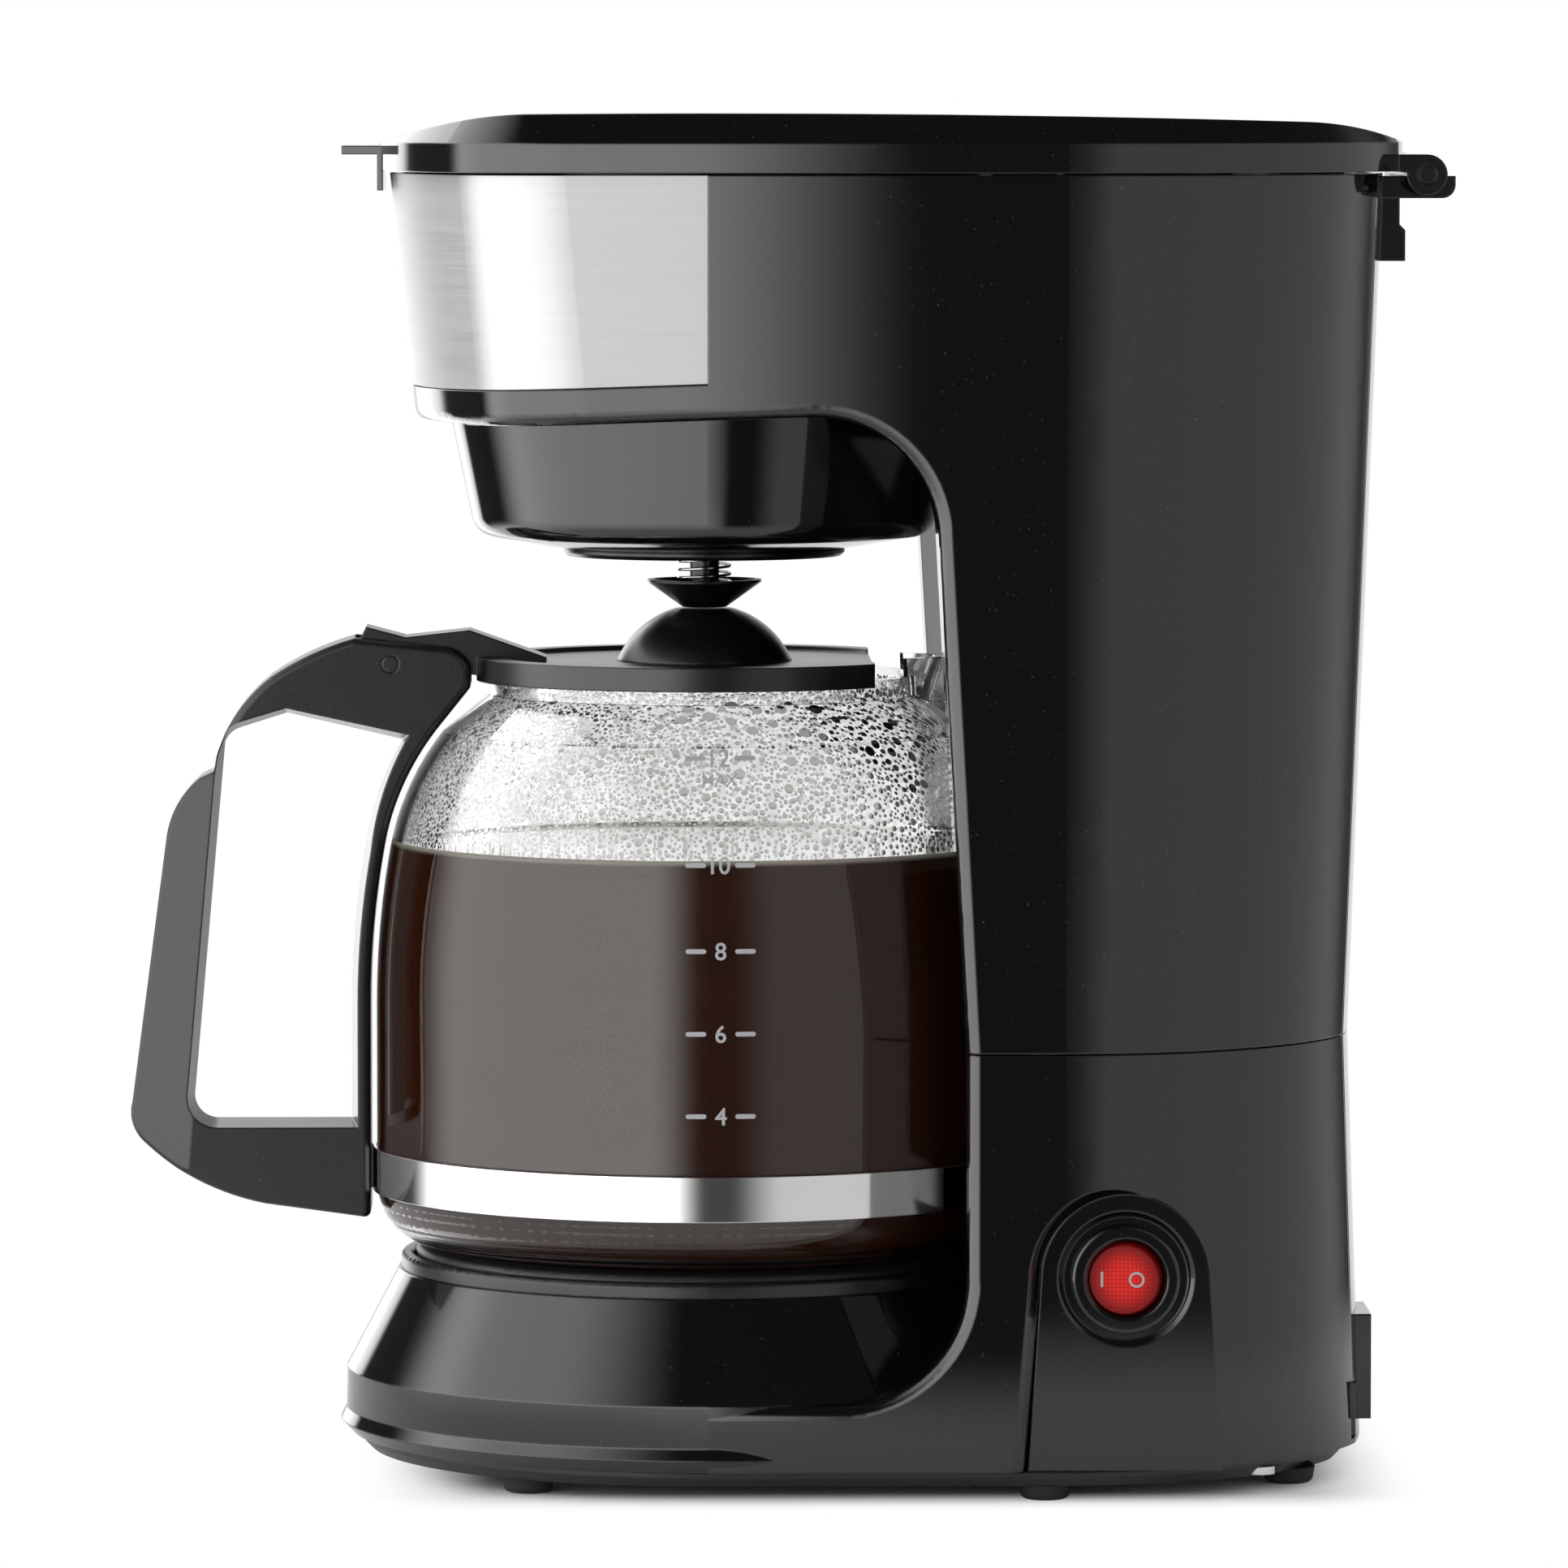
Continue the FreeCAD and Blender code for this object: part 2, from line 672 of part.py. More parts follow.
def back_details(piece: Piece) -> None:
    """Spacer pad that keeps the base off a wall, the slot for the cord sleeve, and two catches."""
    pad = [
        ("-spacer_half", "spacer_low_z"), ("spacer_half", "spacer_low_z"),
        ("spacer_half", "spacer_high_z"), ("-spacer_half", "spacer_high_z"),
    ]
    piece.pad(piece.outline("XZ", pad, "-spacer_rear"), "spacer_rear - base_rear + wall")
    reach = "(gland_r + pin_play)"
    slot = [
        (f"gland_x - {reach}", f"{BASE_Z} - wall"), (f"gland_x + {reach}", f"{BASE_Z} - wall"),
        (f"gland_x + {reach}", f"gland_z + {reach}"), (f"gland_x - {reach}", f"gland_z + {reach}"),
    ]
    piece.pocket(piece.outline("XZ", slot, "-base_rear - wall"), "gland_long * 2", Reversed=True)
    for side in ("", "-"):
        corner = f"{side}crease_x"
        notch = [
            (f"{corner} - notch_half", "notch_low_z"), (f"{corner} + notch_half", "notch_low_z"),
            (f"{corner} + notch_half", "notch_high_z"), (f"{corner} - notch_half", "notch_high_z"),
        ]
        piece.pocket(piece.outline("XZ", notch, "-base_rear - wall"), "wall * 4", Reversed=True)
        catch = [
            (f"{corner} - catch_half", "catch_low_z"), (f"{corner} + catch_half", "catch_low_z"),
            (f"{corner} + catch_half", "notch_high_z + wall / 2"),
            (f"{corner} - catch_half", "notch_high_z + wall / 2"),
        ]
        piece.pad(piece.outline("XZ", catch, "-base_rear + crease_drop"), "wall")
    crease_lines(piece, base_at(BASE_Z, "0"), BASE_Z, base_at(BASE_TOP, "0"), BASE_TOP)


def bottom_cover() -> None:
    """Floor plate with a rounded lower edge and counterbored screw holes."""
    piece = Piece("bottom_cover")
    inset = "(cover_thick + seat_gap)"
    round_z = "(foot_tall + cover_round)"
    outer = base_plan(inset, "foot_tall")
    piece.loft(base_plan(f"({inset} + cover_round)", "foot_tall"), "foot_tall", outer, round_z)
    piece.pad(piece.outline("XY", outer, round_z), "cover_thick - cover_round")
    for x, y, _ in posts():
        piece.pocket(piece.circle("XY", x, y, "screw_r + pin_play", "foot_tall"), "through", Reversed=True)
        head = piece.circle("XY", x, y, "screw_head_r + seat_gap", "foot_tall")
        piece.pocket(head, "screw_head + seat_gap", Reversed=True)


def base_screws() -> None:
    """Pan-head screws, one for each post, kept together as a group."""
    screws = []
    for index, (x, y, _) in enumerate(posts(), start=1):
        shank = DOC.addObject("Part::Cylinder", f"screw_shank_{index}")
        head = DOC.addObject("Part::Cylinder", f"screw_head_{index}")
        bind(shank, "Radius", "screw_r - pin_play")
        bind(shank, "Height", "screw_long - screw_head")
        bind(head, "Radius", "screw_head_r")
        bind(head, "Height", "screw_head")
        top = "foot_tall + screw_head + seat_gap"
        for solid, z in ((shank, top), (head, f"{top} - screw_head")):
            bind(solid, "Placement.Base.x", x)
            bind(solid, "Placement.Base.y", f"{y} + axis_y")
            bind(solid, "Placement.Base.z", z)
        screw = DOC.addObject("Part::Fuse", f"screw_{index}")
        screw.Base = shank
        screw.Tool = head
        screws.append(screw)
    group = DOC.addObject("Part::Compound", "base_screws")
    group.Label = "base_screws"
    group.Links = screws
    Piece.made.append(group)


def feet() -> None:
    """Rounded rubber feet in three pairs under the floor plate."""
    spots = [
        (f"{side}{row}_foot_x", f"{row}_foot_y") for row in ("front", "mid", "rear") for side in ("", "-")
    ]
    for index, (x, y) in enumerate(spots, start=1):
        piece = Piece(f"foot_{index}", f"axis_y + {y}")
        bind(piece.body, "Placement.Base.x", x)
        piece.revolve([
            ("0", "0"),
            ("foot_r - foot_round", "0", "foot_round"),
            ("foot_r", "foot_round"),
            ("foot_r + foot_round / 4", "foot_tall"),
            ("0", "foot_tall"),
        ])


def hot_plate() -> None:
    """Coated plate with a turned-down edge, standing in its trim ring."""
    plate = Piece("warming_plate")
    under = "(plate_z - plate_thick)"
    plate.revolve([
        ("0", under),
        ("plate_r - plate_thick * 3", under),
        ("plate_r - plate_thick * 2", f"{under} - plate_thick"),
        ("plate_r - plate_thick * 2", "deck_z"),
        ("plate_r", "deck_z"),
        ("plate_r", f"{under} - plate_thick / 2", "plate_thick * 1.5"),
        ("plate_r - plate_thick * 1.5", "plate_z"),
        ("0", "plate_z"),
    ])
    ring = Piece("plate_ring")
    ring.revolve([
        ("plate_r + seat_gap", "deck_z"),
        ("ring_r", "deck_z"),
        ("ring_r", "ring_z - plate_thick", "plate_thick"),
        ("ring_r - plate_thick", "ring_z"),
        ("plate_r + seat_gap + plate_thick", "ring_z", "plate_thick"),
        ("plate_r + seat_gap", "ring_z - plate_thick"),
    ])


HEATER_TOP = "(plate_z - plate_thick)"
HEATER_LOW = "(plate_z - plate_thick - heater_tall)"


def heater() -> None:
    """Horseshoe heater pressed to the plate, open to the back, with its thermostat below."""
    piece = Piece("heating_element")
    section = [
        ("heater_r - heater_wide / 2", HEATER_LOW),
        ("heater_r + heater_wide / 2", HEATER_LOW),
        ("heater_r + heater_wide / 2", HEATER_TOP),
        ("heater_r - heater_wide / 2", HEATER_TOP),
    ]
    piece.revolve(section, "heater_turn").Midplane = True
    bind(piece.body, "Placement.Rotation.Angle", "-90")
    thermostat = Piece("thermostat")
    disc = thermostat.circle("XY", "0", "-heater_r", "thermostat_r", HEATER_LOW)
    thermostat.pad(disc, "thermostat_tall", Reversed=True)
    stud = thermostat.circle("XY", "0", "-heater_r", "thermostat_r / 3", f"{HEATER_LOW} - thermostat_tall")
    thermostat.pad(stud, "thermostat_tall / 2", Reversed=True)


def hose(label: str, side: str) -> None:
    """Hose in an upright plane: down from the heater's end, back, and up to the tank floor."""
    x = number(f"{side}hose_x")
    start_y, end_y = number("sqrt(heater_r^2 - hose_x^2)"), number("hose_y")
    top_z, low_z, end_z = number(HEATER_LOW), number("hose_low_z"), number(UPPER_Z)
    bend = number("hose_bend")
    first = number("(plate_z - plate_thick - heater_tall - hose_low_z) * 0.9")
    slant = math.sqrt(0.5)
    spots = [
        Vector(x, start_y, top_z),
        Vector(x, start_y, low_z + first),
        Vector(x, start_y + first * (1 - slant), low_z + first * (1 - slant)),
        Vector(x, start_y + first, low_z),
        Vector(x, end_y - bend, low_z),
        Vector(x, end_y - bend * (1 - slant), low_z + bend * (1 - slant)),
        Vector(x, end_y, low_z + bend),
        Vector(x, end_y, end_z),
    ]
    path = Part.Wire([
        Part.LineSegment(spots[0], spots[1]).toShape(),
        Part.Arc(spots[1], spots[2], spots[3]).toShape(),
        Part.LineSegment(spots[3], spots[4]).toShape(),
        Part.Arc(spots[4], spots[5], spots[6]).toShape(),
        Part.LineSegment(spots[6], spots[7]).toShape(),
    ])
    tubes = []
    for radius in ("hose_r", "hose_bore"):
        ring = Part.Wire(Part.makeCircle(number(radius), spots[0], Vector(0, 0, -1)))
        tubes.append(path.makePipeShell([ring], True, False))
    shaped(label, tubes[0].cut(tubes[1]))


def shaped(label: str, shape) -> None:
    """A sub-part whose form is worked out from the sheet's sizes in code."""
    item = DOC.addObject("Part::Feature", label)
    item.Label = label
    item.Shape = shape
    bind(item, "Placement.Base.y", "axis_y")
    Piece.made.append(item)


def water_path() -> None:
    """Hoses under the tank, the check valve in its floor and the riser inside it."""
    hose("inlet_hose", "")
    hose("outlet_hose", "-")
    tank_floor = "(seam_z + seam_gap / 2 + wall)"
    valve = Piece("check_valve")
    valve.pad(valve.circle("XY", "hose_x", "hose_y", "valve_body_r", tank_floor), "valve_body_tall")
    valve.pocket(valve.circle("XY", "hose_x", "hose_y", "hose_bore", tank_floor), "through", Reversed=True)
    riser = Piece("riser_tube")
    riser.pad(riser.circle("XY", "-hose_x", "hose_y", "hose_r", tank_floor), f"riser_top_z - {tank_floor}")
    riser.pocket(riser.circle("XY", "-hose_x", "hose_y", "hose_bore", tank_floor), "through", Reversed=True)


def chamber_back() -> list:
    """Back of the brew chamber: two flat strips and a curve, from the right to the left."""
    strip_y = "(edge_low_y + edge_round)"
    round_x = f"sqrt(bay_r^2 - {strip_y}^2)"
    return [(round_x, strip_y, "bay_r"), (f"-{round_x}", strip_y)]


def upper_plan(z: str) -> list:
    """Outer plan of the upper housing at a height."""
    half, rear, front = upper_at(z, "0")
    return rear_run(half, rear, "side_end") + front_run(half, front, "0")


def panel_band(out: str, into: str, z: str, front_z: str) -> list:
    """Band that wraps the front of the head, between two offsets of its surface."""
    half, _, front = upper_at(z, "0")
    front = upper_at(front_z, "0")[2]
    outer = front_run(f"({half} + {out})", f"({front} - {out})", f"(-{out})")
    inner = front_run(f"({half} - {into})", f"({front} + {into})", into)
    radii = [f"-{point[2]}" for point in inner[2::-1]]
    back = [(*point[:2], radius) for point, radius in zip(inner[:0:-1], radii)] + [inner[0][:2]]
    left = [(f"-({half} - {into})", "panel_end_y"), (f"-({half} + {out})", "panel_end_y")]
    right = [(f"({half} + {out})", "panel_end_y"), (f"({half} - {into})", "panel_end_y")]
    return left[1:] + outer + right + back + left[:1]


def wrap(piece: Piece, out: str, into: str, low_z: str, cut: bool) -> None:
    """Lofts the band from its sloping lower edge to the top of the head."""
    front_z = f"({low_z} + head_slope * head_front)"
    feature = piece.loft(panel_band(out, into, low_z, front_z), low_z,
                         panel_band(out, into, "head_z", "head_z"), "head_z", cut)
    low = feature.Profile[0]
    low.AttachmentOffset = FreeCAD.Placement(Vector(), FreeCAD.Rotation(Vector(1, 0, 0), 1))
    bind(low, "AttachmentOffset.Base.z", low_z)
    bind(low, "AttachmentOffset.Rotation.Angle", "atan(head_slope)")
    DOC.recompute()


def upper_housing() -> None:
    """Upper column with the tank inside, and the head that overhangs the carafe."""
    piece = Piece("upper_housing")
    piece.loft(upper_plan(UPPER_Z), UPPER_Z, upper_plan("head_z"), "head_z")
    rise = f"(head_bottom_z - {UPPER_Z})"
    lean = "(edge_high_y - edge_low_y)"
    edge = f"sqrt({rise}^2 + {lean}^2)"
    slant = "sqrt(1 + head_slope^2)"
    turn = f"((-{lean} - {rise} * head_slope) / ({edge} * {slant}))"
    reach = f"(upper_arch_r * sqrt((1 - {turn}) / (1 + {turn})))"
    arch_start = f"edge_high_y - {reach} * {lean} / {edge}", f"head_bottom_z - {reach} * {rise} / {edge}"
    far = "(bay_r * 2)"
    bay = [
        (f"-{far}", f"{UPPER_Z} - wall"),
        (f"edge_low_y - {lean} * wall / {rise}", f"{UPPER_Z} - wall"),
        (*arch_start, "upper_arch_r"),
        (f"edge_high_y - {reach} / {slant}", f"head_bottom_z - {reach} * head_slope / {slant}"),
        (f"-{far}", f"head_bottom_z - ({far} + edge_high_y) * head_slope"),
    ]
    piece.pocket(piece.outline("YZ", bay), symmetric=True)
    side_x, column_y = number("seam_half - edge_round"), number("edge_low_y + edge_round")
    nose_y = number("head_front / 2")
    low_z, high_z = number(f"{UPPER_Z} + wall"), number("head_bottom_z + wall")
    piece.fillet(
        "edge_round",
        lambda p, edge: low_z < p.z < high_z and p.y < column_y and (abs(p.x) > side_x or p.y < nose_y),
    )
    ceiling = "(head_bottom_z - edge_round)"
    piece.groove([
        ("0", f"{UPPER_Z} - wall"), ("bay_r", f"{UPPER_Z} - wall"), ("bay_r", ceiling), ("0", ceiling),
    ])
    plans = []
    for z in ("head_floor_z", "head_z"):
        half, _, front = upper_at(z, "wall")
        sides = [(half, "edge_low_y + edge_round")], [(f"-{half}", "edge_low_y + edge_round")]
        plans.append(sides[0] + chamber_back() + sides[1] + front_run(half, front, "wall"))
    piece.loft(plans[0], "head_floor_z", plans[1], "head_z", cut=True)
    tank_floor = f"({UPPER_Z} + wall)"
    tank = []
    for z in (tank_floor, "head_z"):
        half, rear, _ = upper_at(z, "wall")
        tank.append(rear_run(half, rear, "side_end") + column_front(half))
    piece.loft(tank[0], tank_floor, tank[1], "head_z", cut=True)
    piece.pocket(piece.circle("XY", "0", "0", "bowl_r + seat_gap", "head_floor_z"), "upper_arch_r")
    for side in ("", "-"):
        hole = piece.circle("XY", f"{side}hose_x", "hose_y", "hose_bore", tank_floor)
        piece.pocket(hole, "wall * 2")
    piece.pocket(piece.outline("XY", arm_plan("seat_gap"), "head_z"), "head_z - riser_top_z + seat_gap")
    wrap(piece, "panel_gap", "(panel_thick + panel_gap)", "panel_low_z - panel_gap", cut=True)
    crease_lines(piece, upper_at(UPPER_Z, "0")[:2], UPPER_Z, upper_at("head_z", "0")[:2], "head_z")
    hinge_bracket(piece)


def arm_plan(gap: str) -> list:
    """Plan of the spray arm, from the riser to the carafe axis, widened by a gap."""
    return [
        (f"-arm_half - {gap}", f"-{gap}"),
        (f"arm_half + {gap}", f"-{gap}"),
        (f"-hose_x + arm_half + {gap}", f"hose_y + arm_half + {gap}"),
        (f"-hose_x - arm_half - {gap}", f"hose_y + arm_half + {gap}"),
    ]


def hinge_bracket(piece: Piece) -> None:
    """Barrel on a bracket behind the tank, with a stepped stop that hangs below it."""
    root = "(head_rear - wall)"
    bracket = [
        (root, "bracket_low_z"),
        ("bracket_rear - edge_round", "bracket_low_z", "edge_round"),
        ("bracket_rear", "bracket_low_z + edge_round"),
        ("bracket_rear", "hinge_z - seat_gap"),
        (root, "hinge_z - seat_gap"),
    ]
    piece.pad(piece.outline("YZ", bracket), "bracket_half * 2", symmetric=True)
    piece.pad(piece.circle("YZ", "hinge_y", "hinge_z", "knuckle_r"), "bracket_half * 2", symmetric=True)
    piece.pocket(piece.circle("YZ", "hinge_y", "hinge_z", "hinge_pin_r + pin_play"), symmetric=True)
    stop = [
        (root, "stop_low_z"),
        ("stop_rear", "stop_low_z"),
        ("stop_rear", "stop_step_z"),
        ("stop_rear - wall / 2", "stop_step_z + wall / 2"),
        ("stop_rear - wall / 2", "bracket_low_z + wall"),
        (root, "bracket_low_z + wall"),
    ]
    piece.pad(piece.outline("YZ", stop), "stop_half * 2", symmetric=True)


def front_panel() -> None:
    """Brushed steel sheet that lies in the recess of the head."""
    piece = Piece("front_panel")
    wrap(piece, "0", "panel_thick", "panel_low_z", cut=False)


BOWL_FLOOR = "(plate_disc_z + plate_disc_thick)"
BOWL_SEAT = "(head_floor_z + bowl_flange_tall)"


def brew_bowl() -> None:
    """Round bowl hung by its flange in the floor of the head."""
    piece = Piece("brew_bowl")
    inner_floor = f"({BOWL_FLOOR} + bowl_wall)"
    piece.revolve([
        ("drip_hole_r", BOWL_FLOOR),
        ("plate_disc_r", BOWL_FLOOR),
        ("bowl_low_r - bowl_round", "bowl_edge_z", "bowl_round * 1.1"),
        ("bowl_low_r", "bowl_low_z"),
        ("bowl_r", "head_floor_z"),
        ("bowl_r + bowl_flange", "head_floor_z"),
        ("bowl_r + bowl_flange", BOWL_SEAT),
        ("bowl_r - bowl_wall", BOWL_SEAT),
        ("bowl_low_r - bowl_wall", "bowl_low_z + bowl_wall"),
        ("bowl_low_r - bowl_round", "bowl_edge_z + bowl_wall"),
        ("plate_disc_r", inner_floor),
        ("drip_hole_r", inner_floor),
    ])


def filter_basket() -> None:
    """Tapered lift-out basket that hangs by its collar on the bowl's flange."""
    piece = Piece("filter_basket")
    collar = f"({BOWL_SEAT} + basket_wall)"
    piece.revolve([
        ("basket_drain_r", "basket_low_z"),
        ("basket_low_r", "basket_low_z"),
        ("basket_r", BOWL_SEAT),
        ("bowl_r + bowl_flange / 2", BOWL_SEAT),
        ("bowl_r + bowl_flange / 2", collar),
        ("basket_r + basket_wall / 2", collar),
        ("basket_r + basket_wall", "basket_top_z"),
        ("basket_r", "basket_top_z"),
        ("basket_r - basket_wall", BOWL_SEAT),
        ("basket_low_r - basket_wall", "basket_low_z + basket_wall"),
        ("basket_drain_r", "basket_low_z + basket_wall"),
    ])


CUP_FLOOR = "(cup_low_z + cup_wall)"
SEAL_Z = f"({BOWL_FLOOR} + bowl_wall + drip_travel + seat_gap)"


def drip_stop() -> None:
    """Sliding valve under the bowl: guide plate, stem, catch cup and rubber seal."""
    plate = Piece("valve_plate")
    plate.revolve([
        ("stem_r + pin_play * 2", "plate_disc_z"),
        ("plate_disc_r - plate_disc_thick / 2", "plate_disc_z"),
        ("plate_disc_r", "plate_disc_z + plate_disc_thick / 2"),
        ("plate_disc_r", BOWL_FLOOR),
        ("stem_r + pin_play * 2", BOWL_FLOOR),
    ])
    stem = Piece("valve_stem")
    stem.revolve([
        ("0", CUP_FLOOR),
        ("stem_r", CUP_FLOOR),
        ("stem_r", f"{SEAL_Z} + seal_tall"),
        ("stem_cap_r", f"{SEAL_Z} + seal_tall"),
        ("stem_cap_r", f"{SEAL_Z} + seal_tall + stem_cap"),
        ("0", f"{SEAL_Z} + seal_tall + stem_cap"),
    ])
    cup = Piece("valve_cup")
    cup.revolve([
        ("0", "cup_low_z"),
        ("cup_low_r", "cup_low_z"),
        ("cup_r", "cup_rim_z - cup_wall / 2"),
        ("cup_r", "cup_rim_z"),
        ("cup_r - cup_wall", "cup_rim_z"),
        ("cup_low_r", CUP_FLOOR),
        ("0", CUP_FLOOR),
    ])
    seal = Piece("valve_seal")
    seal.revolve([
        ("stem_r + pin_play", SEAL_Z),
        ("seal_r", SEAL_Z),
        ("seal_r", f"{SEAL_Z} + seal_tall"),
        ("stem_r + pin_play", f"{SEAL_Z} + seal_tall"),
    ])


def helix_path(radius: float, low: float, high: float, turns: float) -> list:
    """A helix as pairs of arcs, two to each quarter turn, which meet without a kink."""
    steps = round(turns * 4)
    pitch = (high - low) / (2 * math.pi * turns)

    def spot(index: int) -> tuple:
        angle = 2 * math.pi * turns * index / steps
        place = Vector(radius * math.cos(angle), radius * math.sin(angle), low + pitch * angle)
        course = Vector(-radius * math.sin(angle), radius * math.cos(angle), pitch).normalize()
        return place, course

    edges = []
    for index in range(steps):
        (start, out), (end, into) = spot(index), spot(index + 1)
        gap, both = end - start, out + into
        spread = 4 - both.dot(both)
        root = math.sqrt(gap.dot(both) ** 2 + gap.dot(gap) * spread)
        length = (root - gap.dot(both)) / spread
        first, second = start + out * length, end - into * length
        middle = (first + second) * 0.5
        for near, corner, far in ((start, first, middle), (middle, second, end)):
            weight = (far - near).Length / (2 * (corner - near).Length)
            crown = (near + far + corner * (2 * weight)) * (1 / (2 + 2 * weight))
            edges.append(Part.Arc(near, crown, far).toShape())
    return edges


def valve_spring() -> None:
    """Coil spring round the stem, from the catch cup up to the guide plate."""
    wire, radius = number("wire_r"), number("spring_r")
    slope = "((cup_rim_z - cup_low_z - cup_wall) / (cup_r - cup_wall - cup_low_r))"
    low = number(f"{CUP_FLOOR} + (spring_r + wire_r - cup_low_r) * {slope} + wire_r + seat_gap")
    high = number("plate_disc_z - wire_r - pin_play")
    turns = number("spring_turns")
    edges = helix_path(radius, low, high, turns)
    start = edges[0].valueAt(edges[0].FirstParameter)
    course = edges[0].tangentAt(edges[0].FirstParameter)
    ring = Part.Wire(Part.makeCircle(wire, start, course))
    shaped("valve_spring", Part.Wire(edges).makePipeShell([ring], True, False))
    points = [edge.valueAt(edge.FirstParameter) for edge in edges]
    apart = len(edges) // math.floor(turns) // 2
    gap = min(
        (points[far] - points[near]).Length - 2 * wire
        for near in range(len(points)) for far in range(near + apart, len(points))
    )
    print(f"valve_spring: least gap to itself {gap:.2f} mm")


def spray_arm() -> None:
    """Arm from the riser to a round spray head over the basket."""
    piece = Piece("spray_arm")
    piece.pad(piece.outline("XY", arm_plan("0"), "riser_top_z"), "spray_tall")
    disc = piece.circle("XY", "0", "0", "spray_r", "spray_low_z")
    piece.pad(disc, "riser_top_z + spray_tall / 2 - spray_low_z")
    hole = piece.circle("XY", "spray_ring_r", "0", "spray_hole_r", "spray_low_z")
    drill = piece.pocket(hole, "spray_tall / 2", Reversed=True)
    ring = piece.body.newObject("PartDesign::PolarPattern", "spray_holes")
    ring.Originals = [drill]
    axis = [item for item in piece.body.Origin.OriginFeatures if item.Role == "Z_Axis"]
    ring.Axis = (axis[0], [""])
    ring.Angle = 360
    bind(ring, "Occurrences", "spray_holes")
    piece.body.Tip = ring


def lid_plan(inset: str) -> list:
    """Plan of the lid, moved in by an inset."""
    half = f"(head_half + lid_over - {inset})"
    rim = rear_run(half, f"(lid_rear - {inset})", "side_end")
    return rim + front_run(half, f"(lid_front + {inset})", f"({inset} - lid_over)")


LID_Z = "(head_z + lid_gap)"


def lid() -> None:
    """Crowned lid with a rim, a thumb tab in front and two hinge knuckles behind."""
    piece = Piece("lid")
    rim_top = f"({LID_Z} + lid_rim_tall)"
    piece.pad(piece.outline("XY", lid_plan("0"), LID_Z), "lid_rim_tall")
    piece.loft(lid_plan("pin_play"), rim_top, lid_plan("lid_crown_inset"), "lid_crown_z + wall")
    far = "(lid_crown_z + wall * 4)"
    crown = [
        ("lid_front - wall * 2", "lid_nose_z", "-lid_nose_arc"),
        ("lid_brow_y", "lid_brow_z", "-lid_top_arc"),
        ("lid_back_y", "lid_back_z", "-lid_tail_arc"),
        ("lid_rear + wall * 2", "lid_tail_z"),
        ("lid_rear + wall * 2", far),
        ("lid_front - wall * 2", far),
    ]
    piece.pocket(piece.outline("YZ", crown), symmetric=True)
    hollow = piece.outline("XY", lid_plan("wall"), LID_Z)
    piece.pocket(hollow, "lid_rim_tall - wall", Reversed=True)
    lip = "(lid_front + tab_lip_thick)"
    tab = [
        ("tab_front", "tab_low_z"),
        ("lid_front", "tab_low_z"),
        ("lid_front", "tab_lip_z"),
        (lip, "tab_lip_z"),
        (lip, "tab_low_z - wall"),
        ("lid_front + wall", "tab_low_z - wall"),
        ("lid_front + wall", "tab_low_z + tab_thick"),
        ("tab_front", "tab_low_z + tab_thick"),
    ]
    piece.pad(piece.outline("YZ", tab), "tab_half * 2", symmetric=True)
    relief = piece.circle("YZ", "hinge_y", "hinge_z", "knuckle_r + seat_gap * 2")
    piece.pocket(relief, "(bracket_half + seat_gap) * 2", symmetric=True)
    arm = [
        ("lid_rear - wall * 2.5", f"{LID_Z} + seat_gap"),
        ("hinge_y", "hinge_z"),
        ("hinge_y", "hinge_z + knuckle_r"),
        ("lid_rear - wall * 2.5", "hinge_z + knuckle_r"),
    ]
    for near in ("knuckle_in", "-knuckle_out"):
        piece.pad(piece.circle("YZ", "hinge_y", "hinge_z", "knuckle_r", near), "knuckle_out - knuckle_in")
        piece.pad(piece.outline("YZ", arm, near), "knuckle_out - knuckle_in")
    piece.pocket(piece.circle("YZ", "hinge_y", "hinge_z", "hinge_pin_r + pin_play"), symmetric=True)
    pin = Piece("lid_hinge_pin")
    rod = pin.circle("YZ", "hinge_y", "hinge_z", "hinge_pin_r")
    pin.pad(rod, "knuckle_out * 2 + pin_play", symmetric=True)


ROCKER_X = "(pad_x + bezel_proud - seat_gap - rocker_face)"
UPRIGHT = FreeCAD.Rotation(Vector(0, 1, 0), 90)


def switch_piece(label: str, x: str) -> Piece:
    """A round piece of the switch, whose own axis points out of the right side."""
    piece = Piece(label, "axis_y + switch_y")
    piece.body.Placement = FreeCAD.Placement(Vector(), UPRIGHT)
    bind(piece.body, "Placement.Base.x", x)
    bind(piece.body, "Placement.Base.y", "axis_y + switch_y")
    bind(piece.body, "Placement.Base.z", "switch_z")
    return piece


